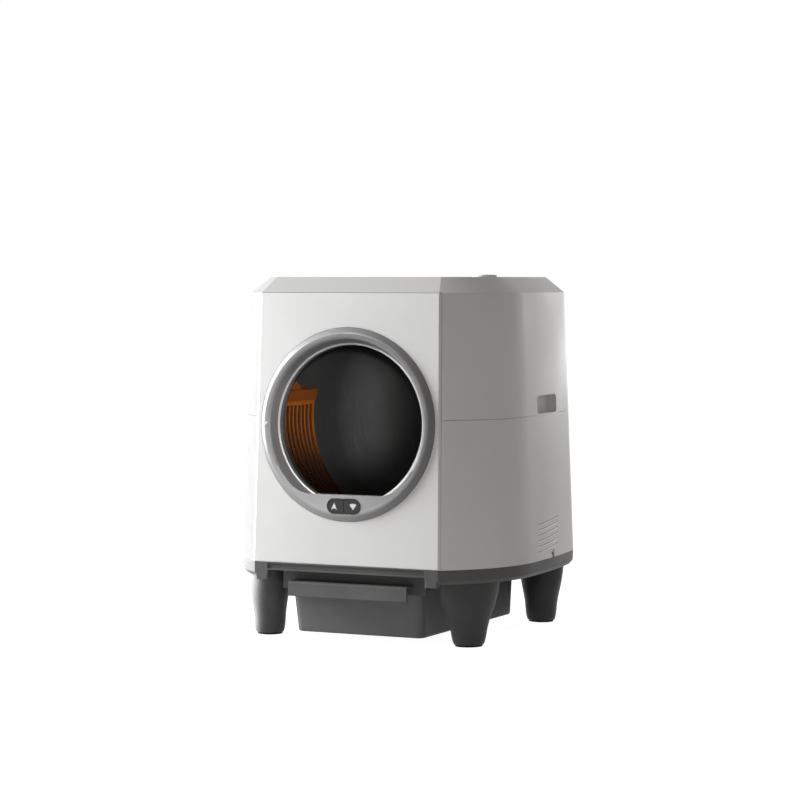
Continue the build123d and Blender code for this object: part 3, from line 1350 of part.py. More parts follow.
LIP = 4.0
PLATE_DROP = 16.0
plate_foot = handle_top - PLATE_DROP
plate_back = bin_front_y + (bin_top - plate_foot) * tan(radians(BIN_LEAN))
riser_top = SHELL_BOTTOM - APRON_HEIGHT - RISER_GAP
riser_width = doorway_width - 2 * RISER_MARGIN
lip_y = bin_front_y - HANDLE_REACH
with BuildPart() as drawer_handle:
    with BuildSketch(Plane.YZ):
        Polygon(
            (bin_front_y, handle_top),
            (lip_y, handle_top),
            (lip_y, handle_top - HANDLE_HEIGHT),
            (lip_y + LIP, handle_top - HANDLE_HEIGHT),
            (lip_y + LIP, handle_top - LIP),
            (bin_front_y - LIP, handle_top - LIP),
            (bin_front_y - LIP, plate_foot),
            (plate_back, plate_foot),
            (bin_front_y, bin_top),
            align=None,
        )
    extrude(amount=handle_width / 2, both=True)
    top_edge = drawer_handle.edges().filter_by(Axis.X).group_by(Axis.Y)[0].sort_by(Axis.Z)[-1]
    fillet(top_edge, 5.0)
    with Locations((0, bin_front_y - LIP / 2, plate_foot)):
        Box(riser_width, LIP, riser_top - plate_foot, align=(Align.CENTER, Align.CENTER, Align.MIN))
drawer_handle.part.label = "drawer_handle"
export_step(drawer_handle.part, "parts/drawer_handle.step")

FRAME_HEIGHT = 3.5
FRAME_WIDTH = 11.0
with BuildPart() as bag_frame:
    with BuildSketch(Plane.XY.offset(bin_top)):
        with Locations((0, bin_centre)):
            RectangleRounded(bin_width - 0.4, bin_length - 0.4, BIN_CORNER)
            RectangleRounded(
                bin_width - 2 * FRAME_WIDTH,
                bin_length - 2 * FRAME_WIDTH,
                BIN_CORNER - 4.0,
                mode=Mode.SUBTRACT,
            )
    extrude(amount=FRAME_HEIGHT)
bag_frame.part.label = "bag_frame"
export_step(bag_frame.part, "parts/bag_frame.step")

rail_in = bin_width / 2 + RIM_REACH + 1.0
ledge_top = bin_top - RIM_THICK - SLIDE_GAP
ledge_bottom = ledge_top - RAIL_WALL
RAIL_END = 6.0
RAIL_LEG_ROOM = 24.0
rail_rear_y = bin_rear_y - RAIL_LEG_ROOM
rail_length = bin_length - RAIL_LEG_ROOM - RAIL_END
with BuildPart() as drawer_rail_right:
    with BuildSketch(Plane((0, rail_rear_y, 0), x_dir=(1, 0, 0), z_dir=(0, -1, 0))):
        Polygon(
            (rail_in, deck_under),
            (rail_in, ledge_top),
            (bin_width / 2 + 2.5, ledge_top),
            (bin_width / 2 + 2.5, ledge_bottom),
            (rail_in + RAIL_WALL, ledge_bottom),
            (rail_in + RAIL_WALL, deck_under),
            align=None,
        )
    extrude(amount=rail_length)
drawer_rail_right.part.label = "drawer_rail_right"
export_step(drawer_rail_right.part, "parts/drawer_rail_right.step")

with BuildPart() as drawer_rail_left:
    mirror(drawer_rail_right.part, about=Plane.YZ)
drawer_rail_left.part.label = "drawer_rail_left"
export_step(drawer_rail_left.part, "parts/drawer_rail_left.step")
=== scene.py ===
"""Looks of the self-cleaning litter box: a finish for every node, printed key marks, light and camera."""
import json
from math import atan, cos, pi, radians, sin, tan

import bpy
import numpy as np
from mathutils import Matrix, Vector


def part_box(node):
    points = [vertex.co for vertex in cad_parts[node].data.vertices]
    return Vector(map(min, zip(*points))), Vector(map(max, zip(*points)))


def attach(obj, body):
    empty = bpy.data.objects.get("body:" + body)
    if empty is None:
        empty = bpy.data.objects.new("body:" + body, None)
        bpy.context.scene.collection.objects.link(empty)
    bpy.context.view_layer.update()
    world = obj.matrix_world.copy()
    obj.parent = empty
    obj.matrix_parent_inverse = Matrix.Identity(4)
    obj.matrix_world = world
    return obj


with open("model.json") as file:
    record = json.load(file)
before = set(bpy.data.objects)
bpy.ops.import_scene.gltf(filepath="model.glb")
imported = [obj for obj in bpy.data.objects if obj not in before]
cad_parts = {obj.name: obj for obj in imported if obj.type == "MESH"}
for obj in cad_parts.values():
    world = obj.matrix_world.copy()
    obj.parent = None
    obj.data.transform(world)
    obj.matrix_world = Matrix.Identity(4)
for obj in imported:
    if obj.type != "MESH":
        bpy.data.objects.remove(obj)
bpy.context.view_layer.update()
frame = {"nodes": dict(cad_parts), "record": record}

nodes = frame["nodes"]
slot_of = {row["node"]: row["material_slot"] for row in frame["record"]["subparts"]}

# Photograph's frame and viewpoint, in pixels, degrees and metres; the sensor is in millimetres
PHOTO = 800
FOCAL = 2658.0
HORIZON = 280.0
FRONT_CENTRE = 344.4
AZIMUTH = 27.0
DISTANCE = 4.311
EYE_HEIGHT = 0.595
FRONT_Y = -0.258
SENSOR = 36.0
FAR_CLIP = 100.0

# Lean of the front in degrees, and the height of the drum's axis in metres
DRAFT = 2.2
DRUM_AXIS_Z = 0.36

# Entry ring's painted highlight along its lip, in metres: the ring's seat, then the lip's radius, depth,
# half band and soft edge
RING_Y = -0.2492
LIP_RADIUS = 0.1328
LIP_DEPTH = 0.011
LIP_BAND = 0.001
LIP_EDGE = 0.0004

# Sieve's painted shade, in metres: heights where it is full and where it ends, top of the bars, soft edge
# there
SHADE_FULL_Z = 0.262
SHADE_END_Z = 0.345
BARS_TOP_Z = 0.39
SHADE_EDGE = 0.003

# Printed key marks, in metres and degrees
PRINT_THICKNESS = 0.00012
MARK_SHIFT = 0.0032
DART_HEIGHT = 0.0115
DART_WIDTH = 0.0105
DART_NOTCH = 0.0026
FAN_HEIGHT = 0.0105
FAN_OPENING = 74.0
FAN_POINTS = 14

# Floor: half side in metres, share of its white over its shadow, and the strength of that white
FLOOR_HALF = 40.0
FLOOR_SHOW = 0.6
FLOOR_WHITE = 1.62

# Tints of light
WHITE = (1.0, 1.0, 1.0)
COOL = (0.97, 0.99, 1.0)
WARM = (1.0, 0.945, 0.93)


def link(tree, source, target):
    """Joins an output socket to an input socket."""
    tree.links.new(source, target)


def node(tree, kind, **values):
    """A new shader node with its properties set."""
    made = tree.nodes.new(kind)
    for key, value in values.items():
        setattr(made, key, value)
    return made


def math_node(tree, operation, *operands):
    """Output of a Math node; each operand is a number or a socket."""
    made = node(tree, "ShaderNodeMath", operation=operation)
    for socket, operand in zip(made.inputs, operands):
        if isinstance(operand, (int, float)):
            socket.default_value = operand
        else:
            link(tree, operand, socket)
    return made.outputs[0]


def noise(tree, vector, scale, detail=2.0, rough=0.5):
    """Factor output of a Noise texture; scale is a number or a socket, in cells a metre."""
    made = node(tree, "ShaderNodeTexNoise")
    link(tree, vector, made.inputs["Vector"])
    made.inputs["Detail"].default_value = detail
    made.inputs["Roughness"].default_value = rough
    if isinstance(scale, (int, float)):
        made.inputs["Scale"].default_value = scale
    else:
        link(tree, scale, made.inputs["Scale"])
    return made.outputs["Fac"]


def spread(tree, value, low, high, out_low=0.0, out_high=1.0):
    """Value from low to high mapped to out_low to out_high, smooth and clamped."""
    made = node(tree, "ShaderNodeMapRange", interpolation_type="SMOOTHSTEP")
    link(tree, value, made.inputs["Value"])
    made.inputs["From Min"].default_value = low
    made.inputs["From Max"].default_value = high
    made.inputs["To Min"].default_value = out_low
    made.inputs["To Max"].default_value = out_high
    return made.outputs["Result"]


def split(tree, vector):
    """The X, Y and Z outputs of a vector socket."""
    parts = node(tree, "ShaderNodeSeparateXYZ")
    link(tree, vector, parts.inputs[0])
    return parts.outputs["X"], parts.outputs["Y"], parts.outputs["Z"]


def around_axis(tree, where, height):
    """A place seen from the drum's axis: across, along and above it, and away from it.
    The distance away is the root of across squared plus above squared."""
    across, along, level = split(tree, where)
    above = math_node(tree, "SUBTRACT", level, height)
    across_squared = math_node(tree, "POWER", across, 2.0)
    above_squared = math_node(tree, "POWER", above, 2.0)
    away = math_node(tree, "SQRT", math_node(tree, "ADD", across_squared, above_squared))
    return across, along, above, away


def new_group(name, inputs, outputs):
    """Empty shader group with named float or vector inputs and float outputs."""
    group = bpy.data.node_groups.new(name, "ShaderNodeTree")
    for label, value in inputs:
        kind = "NodeSocketVector" if value is None else "NodeSocketFloat"
        socket = group.interface.new_socket(label, in_out="INPUT", socket_type=kind)
        if value is not None:
            socket.default_value = value
    for label in outputs:
        group.interface.new_socket(label, in_out="OUTPUT", socket_type="NodeSocketFloat")
    return group, group.nodes.new("NodeGroupInput").outputs, group.nodes.new("NodeGroupOutput").inputs


def moulded_grain():
    """Eroded mould texture: fine noise crossed with rounded cells for height, slow noise for mottle."""
    group, given, out = new_group(
        "moulded_grain",
        [("Vector", None), ("Grain", 900.0), ("Mottle", 7.0)],
        ["Height", "Mottle"],
    )
    cells = node(group, "ShaderNodeTexVoronoi", feature="SMOOTH_F1")
    link(group, given["Vector"], cells.inputs["Vector"])
    link(group, given["Grain"], cells.inputs["Scale"])
    fine = noise(group, given["Vector"], given["Grain"], detail=3.0, rough=0.6)
    link(group, math_node(group, "MULTIPLY_ADD", cells.outputs["Distance"], 0.6, fine), out["Height"])
    slow = noise(group, given["Vector"], given["Mottle"], detail=4.0, rough=0.55)
    link(group, spread(group, slow, 0.3, 0.7), out["Mottle"])
    return group


def scuff_rings():
    """Fine rubbed lines round the drum's axis: noise stretched along the turn and cut to thin streaks,
    kept to patches of a slow noise."""
    group, given, out = new_group(
        "scuff_rings",
        [("Vector", None), ("Axis Height", DRUM_AXIS_Z), ("Lines", 420.0), ("Streaks", 3.0)],
        ["Scuff"],
    )
    across, along, above, away = around_axis(group, given["Vector"], given["Axis Height"])
    turn = math_node(group, "ARCTAN2", across, above)
    wrapped = node(group, "ShaderNodeCombineXYZ")
    link(group, math_node(group, "MULTIPLY", turn, given["Streaks"]), wrapped.inputs["X"])
    link(group, math_node(group, "MULTIPLY", along, given["Lines"]), wrapped.inputs["Y"])
    link(group, math_node(group, "MULTIPLY", away, given["Lines"]), wrapped.inputs["Z"])
    lines = spread(group, noise(group, wrapped.outputs[0], 1.0, detail=3.0, rough=0.6), 0.58, 0.72)
    patches = spread(group, noise(group, given["Vector"], 9.0), 0.4, 0.65)
    link(group, math_node(group, "MULTIPLY", lines, patches), out["Scuff"])
    return group


def drawn_lines():
    """Brushed or drawn metal: noise stretched strongly along one axis for height, slow noise for shade."""
    group, given, out = new_group(
        "drawn_lines",
        [("Vector", None), ("Lines", 1500.0)],
        ["Height", "Mottle"],
    )
    stretched = node(group, "ShaderNodeMapping")
    link(group, given["Vector"], stretched.inputs["Vector"])
    stretched.inputs["Scale"].default_value = (1.0, 0.03, 1.0)
    lines = noise(group, stretched.outputs[0], given["Lines"], detail=3.0, rough=0.65)
    link(group, lines, out["Height"])
    slow = noise(group, given["Vector"], 30.0, detail=3.0)
    link(group, spread(group, slow, 0.3, 0.7), out["Mottle"])
    return group


def hand_smudge():
    """Faint smudges of handling: two noises multiplied, for the roughness of gloss."""
    group, given, out = new_group("hand_smudge", [("Vector", None), ("Size", 60.0)], ["Smudge"])
    broad = spread(group, noise(group, given["Vector"], given["Size"], detail=3.0), 0.42, 0.68)
    streaky = spread(group, noise(group, given["Vector"], 260.0, detail=4.0, rough=0.7), 0.35, 0.7)
    link(group, math_node(group, "MULTIPLY", broad, streaky), out["Smudge"])
    return group


GRAIN = moulded_grain()
SCUFF = scuff_rings()
DRAWN = drawn_lines()
SMUDGE = hand_smudge()


def start_material(name):
    """A new node material: its tree, its Principled shader and the object's own coordinates."""
    material = bpy.data.materials.new(name)
    material.use_nodes = True
    tree = material.node_tree
    shader = tree.nodes["Principled BSDF"]
    where = node(tree, "ShaderNodeTexCoord").outputs["Object"]
    return material, tree, shader, where


def placed(tree, group, where, **values):
    """A shader group placed in a material, with its inputs set; returns its outputs."""
    made = node(tree, "ShaderNodeGroup", node_tree=group)
    link(tree, where, made.inputs["Vector"])
    for key, value in values.items():
        made.inputs[key].default_value = value
    return made.outputs


def mixed_colour(tree, factor, first, second):
    """Colour output that goes from first to second with the factor."""
    made = node(tree, "ShaderNodeMix", data_type="RGBA")
    link(tree, factor, made.inputs["Factor"])
    made.inputs["A"].default_value = (*first, 1.0)
    made.inputs["B"].default_value = (*second, 1.0)
    return made.outputs["Result"]


def painted(tree, factor, under, colour):
    """Colour output that goes from the socket under to a plain colour with the factor."""
    made = node(tree, "ShaderNodeMix", data_type="RGBA")
    link(tree, factor, made.inputs["Factor"])
    link(tree, under, made.inputs["A"])
    made.inputs["B"].default_value = (*colour, 1.0)
    return made.outputs["Result"]


def bumped(tree, shader, height, depth, softened=0.0):
    """Feeds a height to the shader's normal: depth is its size, softened the radius of the piece's edges."""
    bump = node(tree, "ShaderNodeBump")
    bump.inputs["Distance"].default_value = depth
    if softened:
        edges = node(tree, "ShaderNodeBevel", samples=6)
        edges.inputs["Radius"].default_value = softened
        link(tree, edges.outputs["Normal"], bump.inputs["Normal"])
    link(tree, height, bump.inputs["Height"])
    link(tree, bump.outputs["Normal"], shader.inputs["Normal"])


def moulded(name, dark, light, rough, grain=900.0, mottle=7.0, depth=0.00004, sheen=0.5, softened=0.0):
    """Moulded plastic: mottled between two close tones, with an eroded grain and roughness to match."""
    material, tree, shader, where = start_material(name)
    grained = placed(tree, GRAIN, where, Grain=grain, Mottle=mottle)
    link(tree, mixed_colour(tree, grained["Mottle"], dark, light), shader.inputs["Base Color"])
    link(tree, spread(tree, grained["Mottle"], 0.0, 1.0, *rough), shader.inputs["Roughness"])
    bumped(tree, shader, grained["Height"], depth, softened)
    shader.inputs["Specular IOR Level"].default_value = sheen
    return material


def charcoal(name, dark, light, mottle):
    """Dark plastic of the base, legs and drawer: coarse dull grain with softened edges."""
    return moulded(
        name, dark, light, rough=(0.5, 0.62),
        grain=800.0, mottle=mottle, depth=0.00006, sheen=0.2, softened=0.0012,
    )


def highlit_ring(name, dark, light, lip_highlight):
    """Entry ring's plastic: moulded grain, and a pale painted highlight on the lip, nearer to the axis than
    LIP_RADIUS and within LIP_BAND of the depth LIP_DEPTH behind the leaning front."""
    material, tree, shader, where = start_material(name)
    grained = placed(tree, GRAIN, where, Grain=1000.0, Mottle=9.0)
    _, along, above, away = around_axis(tree, where, DRUM_AXIS_Z)
    inner = spread(tree, away, LIP_RADIUS, LIP_RADIUS + LIP_EDGE, 1.0, 0.0)
    lean = math_node(tree, "MULTIPLY", above, tan(radians(DRAFT)))
    behind = math_node(tree, "SUBTRACT", along, lean)
    off_lip = math_node(tree, "ABSOLUTE", math_node(tree, "SUBTRACT", behind, RING_Y + LIP_DEPTH))
    flat = spread(tree, off_lip, LIP_BAND, LIP_BAND + LIP_EDGE, 1.0, 0.0)
    tone = mixed_colour(tree, grained["Mottle"], dark, light)
    # Painted highlight: the lip's band is painted pale
    highlit_tone = painted(tree, math_node(tree, "MULTIPLY", inner, flat), tone, lip_highlight)
    link(tree, highlit_tone, shader.inputs["Base Color"])
    link(tree, spread(tree, grained["Mottle"], 0.0, 1.0, 0.36, 0.46), shader.inputs["Roughness"])
    bumped(tree, shader, grained["Height"], 0.00003, softened=0.0008)
    return material


def scuffed_drum(name, dark, light, scuffed):
    """Drum plastic: moulded grain with fine rubbed rings round the axis that are paler and duller."""
    material, tree, shader, where = start_material(name)
    grained = placed(tree, GRAIN, where, Grain=700.0, Mottle=10.0)
    rings = placed(tree, SCUFF, where)
    tone = mixed_colour(tree, grained["Mottle"], dark, light)
    link(tree, painted(tree, rings["Scuff"], tone, scuffed), shader.inputs["Base Color"])
    link(tree, spread(tree, rings["Scuff"], 0.0, 1.0, 0.62, 0.74), shader.inputs["Roughness"])
    bumped(tree, shader, grained["Height"], 0.00004)
    shader.inputs["Specular IOR Level"].default_value = 0.2
    return material


def shaded_sieve(name, dark, light, shade_tone):
    """Sieve plastic: moulded grain, darkened by painted shade from SHADE_END_Z down to SHADE_FULL_Z, and on
    the sides of its bars below BARS_TOP_Z. A side is a face whose normal lies along the drum's axis."""
    material, tree, shader, where = start_material(name)
    grained = placed(tree, GRAIN, where, Grain=900.0, Mottle=14.0)
    level = split(tree, where)[2]
    along = split(tree, where.node.outputs["Normal"])[1]
    # Painted shade: darker towards the bottom, and on the bars' sides between them
    bottom = spread(tree, level, SHADE_FULL_Z, SHADE_END_Z, 1.0, 0.0)
    sides = spread(tree, math_node(tree, "ABSOLUTE", along), 0.5, 0.9)
    below = spread(tree, level, BARS_TOP_Z, BARS_TOP_Z + SHADE_EDGE, 1.0, 0.0)
    painted_shade = math_node(tree, "MAXIMUM", bottom, math_node(tree, "MULTIPLY", sides, below))
    tone = mixed_colour(tree, grained["Mottle"], dark, light)
    link(tree, painted(tree, painted_shade, tone, shade_tone), shader.inputs["Base Color"])
    link(tree, spread(tree, painted_shade, 0.0, 1.0, 0.4, 0.75), shader.inputs["Roughness"])
    bumped(tree, shader, grained["Height"], 0.00004)
    return material


def polished(name, colour, rough):
    """Gloss black plastic under a clear coat, with faint smudges in its tone and roughness."""
    material, tree, shader, where = start_material(name)
    smudged = placed(tree, SMUDGE, where)
    tint = tuple(part + 0.006 for part in colour)
    link(tree, mixed_colour(tree, smudged["Smudge"], colour, tint), shader.inputs["Base Color"])
    link(tree, spread(tree, smudged["Smudge"], 0.0, 1.0, *rough), shader.inputs["Roughness"])
    shader.inputs["Coat Weight"].default_value = 0.6
    shader.inputs["Coat Roughness"].default_value = 0.04
    return material


def drawn_metal(name, dark, light, rough, lines=1500.0):
    """Metal with drawn lines in its height and a slow change of tone and roughness."""
    material, tree, shader, where = start_material(name)
    drawn = placed(tree, DRAWN, where, Lines=lines)
    link(tree, mixed_colour(tree, drawn["Mottle"], dark, light), shader.inputs["Base Color"])
    link(tree, spread(tree, drawn["Mottle"], 0.0, 1.0, *rough), shader.inputs["Roughness"])
    bumped(tree, shader, drawn["Height"], 0.00002)
    shader.inputs["Metallic"].default_value = 1.0
    return material


def circuit_laminate(name):
    """Board laminate: green mask over straight copper tracks, from two banded waves."""
    material, tree, shader, where = start_material(name)
    tracks = []
    for direction, scale in (("Y", 90.0), ("Z", 70.0)):
        wave = node(tree, "ShaderNodeTexWave", wave_type="BANDS", bands_direction=direction)
        link(tree, where, wave.inputs["Vector"])
        wave.inputs["Scale"].default_value = scale
        wave.inputs["Distortion"].default_value = 1.5
        wave.inputs["Detail Scale"].default_value = 0.4
        tracks.append(spread(tree, wave.outputs["Fac"], 0.72, 0.8))
    both = math_node(tree, "MAXIMUM", *tracks)
    tone = mixed_colour(tree, both, (0.012, 0.09, 0.035), (0.03, 0.2, 0.08))
    link(tree, tone, shader.inputs["Base Color"])
    link(tree, spread(tree, both, 0.0, 1.0, 0.32, 0.24), shader.inputs["Roughness"])
    bumped(tree, shader, both, 0.00003)
    return material


def pressed_felt(name):
    """Felt: short fibres from two crossed stretched noises, dull and slightly fuzzy."""
    material, tree, shader, where = start_material(name)
    fibres = []
    for scale in ((1.0, 0.15, 0.5), (0.4, 1.0, 0.12)):
        turned = node(tree, "ShaderNodeMapping")
        link(tree, where, turned.inputs["Vector"])
        turned.inputs["Scale"].default_value = scale
        fibres.append(noise(tree, turned.outputs[0], 2200.0, detail=4.0, rough=0.7))
    height = math_node(tree, "MAXIMUM", *fibres)
    tone = mixed_colour(tree, spread(tree, height, 0.4, 0.75), (0.02, 0.02, 0.02), (0.075, 0.073, 0.07))
    link(tree, tone, shader.inputs["Base Color"])
    shader.inputs["Roughness"].default_value = 0.95
    shader.inputs["Sheen Weight"].default_value = 0.3
    bumped(tree, shader, height, 0.0004)
    return material


def clouded_gel(name):
    """Deodorant gel: cloudy green between two tones with small bubbles in its height."""
    material, tree, shader, where = start_material(name)
    cloud = spread(tree, noise(tree, where, 90.0, detail=4.0), 0.35, 0.65)
    bubbles = node(tree, "ShaderNodeTexVoronoi", feature="F1")
    link(tree, where, bubbles.inputs["Vector"])
    bubbles.inputs["Scale"].default_value = 500.0
    tone = mixed_colour(tree, cloud, (0.16, 0.42, 0.38), (0.34, 0.66, 0.58))
    link(tree, tone, shader.inputs["Base Color"])
    link(tree, spread(tree, cloud, 0.0, 1.0, 0.12, 0.25), shader.inputs["Roughness"])
    bumped(tree, shader, bubbles.outputs["Distance"], 0.0002)
    return material


# Finish of each material slot
finishes = {
    "white_plastic": moulded(
        "satin_white", (0.772, 0.767, 0.757), (0.81, 0.805, 0.796), rough=(0.4, 0.5),
        grain=1100.0, mottle=5.0, depth=0.000025, softened=0.002,
    ),
    "dark_plastic": charcoal("grained_charcoal", (0.114, 0.112, 0.11), (0.14, 0.138, 0.136), mottle=12.0),
    "grey_plastic": moulded(
        "satin_grey", (0.19, 0.187, 0.186), (0.215, 0.212, 0.211), rough=(0.36, 0.46),
        grain=1000.0, mottle=9.0, depth=0.00003, softened=0.0008,
    ),
    "drum_plastic": scuffed_drum(
        "rubbed_black", (0.1, 0.098, 0.097), (0.125, 0.123, 0.122), scuffed=(0.19, 0.187, 0.183)
    ),
    "orange_plastic": moulded(
        "satin_orange", (0.46, 0.125, 0.018), (0.56, 0.175, 0.035), rough=(0.34, 0.44), mottle=14.0
    ),
    "black_gloss": polished("polished_black", (0.004, 0.004, 0.0045), rough=(0.08, 0.2)),
    "white_ink": moulded(
        "printed_white", (0.8, 0.79, 0.77), (0.88, 0.87, 0.85), rough=(0.5, 0.6),
        grain=2500.0, mottle=40.0, depth=0.00001,
    ),
    "circuit_board": circuit_laminate("green_laminate"),
    "rubber": moulded(
        "matt_rubber", (0.02, 0.02, 0.02), (0.036, 0.035, 0.034), rough=(0.75, 0.9),
        grain=600.0, mottle=20.0, depth=0.0001, sheen=0.3,
    ),
    "steel": drawn_metal("bright_steel", (0.5, 0.5, 0.51), (0.62, 0.62, 0.63), rough=(0.22, 0.36)),
    "motor_steel": drawn_metal(
        "plated_can", (0.26, 0.26, 0.27), (0.36, 0.36, 0.37), rough=(0.3, 0.42), lines=900.0
    ),
    "alloy": drawn_metal(
        "machined_alloy", (0.64, 0.65, 0.66), (0.74, 0.75, 0.76), rough=(0.28, 0.4), lines=2200.0
    ),
    "bush_bronze": drawn_metal(
        "sintered_bronze", (0.46, 0.29, 0.12), (0.58, 0.38, 0.18), rough=(0.4, 0.55), lines=700.0
    ),
    "gear_plastic": moulded(
        "natural_acetal", (0.68, 0.66, 0.59), (0.75, 0.73, 0.66), rough=(0.32, 0.42),
        grain=1200.0, mottle=16.0,
    ),
    "felt": pressed_felt("black_felt"),
    "gel": clouded_gel("green_gel"),
}

# Finish of the nodes that differ from their slot
own_finishes = {
    # Entry ring: grey with a pale painted highlight along its lip
    "entry_ring": highlit_ring(
        "ring_grey", (0.134, 0.132, 0.131), (0.154, 0.151, 0.15), lip_highlight=(0.5, 0.49, 0.485)
    ),
    # Sieve: orange with painted shade towards the bottom and between its bars
    "sifter_screen": shaded_sieve(
        "shaded_orange", (0.82, 0.215, 0.022), (0.94, 0.28, 0.04), shade_tone=(0.09, 0.026, 0.007)
    ),
    # Drawer: a lighter copy of the base's charcoal, painted light
    "drawer_bin": charcoal("lit_drawer_charcoal", (0.155, 0.153, 0.151), (0.183, 0.18, 0.178), mottle=9.0),
}
# Legs: a darker copy of the base's charcoal, painted shade
shaded_leg_finish = charcoal("shaded_leg_charcoal", (0.07, 0.069, 0.068), (0.088, 0.086, 0.085), mottle=14.0)
for corner in ("front_left", "front_right", "rear_left", "rear_right"):
    own_finishes["leg_" + corner] = shaded_leg_finish
for name, piece in nodes.items():
    piece.data.materials.clear()
    piece.data.materials.append(own_finishes.get(name, finishes[slot_of[name]]))


def mesh_piece(name, points, faces, slot, body):
    """A new piece from an array of points and a list of faces, with its slot's finish, riding on a body."""
    mesh = bpy.data.meshes.new(name)
    mesh.from_pydata(points.tolist(), [], faces)
    mesh.update()
    piece = bpy.data.objects.new(name, mesh)
    bpy.context.scene.collection.objects.link(piece)
    mesh.materials.append(finishes[slot])
    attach(piece, body)
    return piece


def key_face_points(key, across, up):
    """Points on a key's leaning front face, from its middle: across to the right, up along the slope."""
    low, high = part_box(key)
    lean = radians(DRAFT)
    rise = up * cos(lean)
    slope_y = low.y + ((high.z - low.z) / 2 + rise) * tan(lean)
    return np.stack([(low.x + high.x) / 2 + across, slope_y, (low.z + high.z) / 2 + rise], axis=-1)


def printed_mark(name, key, outline, offset, body):
    """Thin white print on a key: a closed outline (across, up) raised along the face's normal by the print's
    thickness, with a wall between the two outlines."""
    outline = np.asarray(outline, float)
    base = key_face_points(key, outline[:, 0] + offset, outline[:, 1])
    normal = np.array([0.0, -cos(radians(DRAFT)), sin(radians(DRAFT))])
    raised = base + normal * PRINT_THICKNESS
    count = len(outline)
    corner = np.arange(count)
    following = np.roll(corner, -1)
    walls = np.stack([corner, following, count + following, count + corner], axis=-1)
    faces = [(count + corner).tolist(), corner[::-1].tolist()] + walls.tolist()
    return mesh_piece(name, np.concatenate([base, raised]), faces, "white_ink", body)


def dart_outline(height, width, notch):
    """Dart pointing up: a triangle whose base is notched in the middle."""
    half = width / 2
    return [(0.0, height / 2), (-half, -height / 2), (0.0, notch - height / 2), (half, -height / 2)]


def fan_outline(height, opening, count):
    """Fan opening upwards: a circular arc over the opening angle, in degrees, joined to its point below."""
    turn = np.radians(np.linspace(90 - opening / 2, 90 + opening / 2, count))
    arc = np.stack([height * np.cos(turn), height * np.sin(turn) - height / 2], axis=-1)
    return np.concatenate([arc, [[0.0, -height / 2]]])


dart = dart_outline(DART_HEIGHT, DART_WIDTH, DART_NOTCH)
fan = fan_outline(FAN_HEIGHT, FAN_OPENING, FAN_POINTS)
marks = [
    printed_mark("mark_left", "key_left", dart, -MARK_SHIFT, "left_key"),
    printed_mark("mark_right", "key_right", fan, MARK_SHIFT, "right_key"),
]


def lit_group(name, pieces, extras=()):
    """Collection that a lamp is kept to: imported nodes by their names, and other objects."""
    group = bpy.data.collections.new(name)
    for member in [nodes[piece] for piece in pieces] + list(extras):
        group.objects.link(member)
    return group


def hang(name, lamp, place, aim, only):
    """Hangs a lamp at a place, turned to aim; it lights one collection, or everything where that is None."""
    holder = bpy.data.objects.new(name, lamp)
    holder.light_linking.receiver_collection = only
    holder.location = place
    holder.rotation_euler = (Vector(aim) - Vector(place)).to_track_quat("-Z", "Y").to_euler()
    bpy.context.scene.collection.objects.link(holder)


def area_light(name, place, aim, size, power, colour=WHITE, only=None):
    """Soft square lamp of a side length and a power in watts."""
    lamp = bpy.data.lights.new(name, "AREA")
    lamp.shape = "SQUARE"
    lamp.size = size
    lamp.energy = power
    lamp.color = colour
    hang(name, lamp, place, aim, only)


def spot_light(name, place, aim, cone, size, power, only):
    """Lamp with a narrow soft-edged cone in degrees, a bulb size and a power in watts."""
    lamp = bpy.data.lights.new(name, "SPOT")
    lamp.spot_size = radians(cone)
    lamp.spot_blend = 0.6
    lamp.shadow_soft_size = size
    lamp.energy = power
    hang(name, lamp, place, aim, only)


def ray_kinds(tree):
    """Two masks from Light Path: seen by the camera, and seen in shine or through glass."""
    path = node(tree, "ShaderNodeLightPath")
    shine = math_node(tree, "MAXIMUM", path.outputs["Is Glossy Ray"], path.outputs["Is Transmission Ray"])
    return path.outputs["Is Camera Ray"], shine


def blended(tree, factor, first, second):
    """Shader output that goes from first to second with the factor."""
    made = node(tree, "ShaderNodeMixShader")
    for socket, source in zip(made.inputs, (factor, first, second)):
        link(tree, source, socket)
    return made.outputs[0]


def white_world(side, top, front, left, right):
    """Soft light: side at the horizon falling to top overhead. The camera sees plain white, and shine sees
    white at the strengths left and right, less before the object by the factor front."""
    world = bpy.data.worlds.new("studio")
    bpy.context.scene.world = world
    world.use_nodes = True
    tree = world.node_tree
    across, along, up = split(tree, node(tree, "ShaderNodeTexCoord").outputs["Generated"])
    soft = tree.nodes["Background"]
    white = node(tree, "ShaderNodeBackground")
    mirrored = node(tree, "ShaderNodeBackground")
    for background, tint in ((soft, WARM), (white, WHITE), (mirrored, WHITE)):
        background.inputs["Color"].default_value = (*tint, 1.0)
    link(tree, spread(tree, up, 0.1, 0.9, side, top), soft.inputs["Strength"])
    before = spread(tree, along, -0.6, 0.0, front, 1.0)
    beside = spread(tree, across, -0.4, 0.4, left, right)
    link(tree, math_node(tree, "MULTIPLY", before, beside), mirrored.inputs["Strength"])
    camera, shine = ray_kinds(tree)
    lit = blended(tree, shine, soft.outputs[0], mirrored.outputs[0])
    seen = blended(tree, camera, lit, white.outputs[0])
    link(tree, seen, tree.nodes["World Output"].inputs["Surface"])


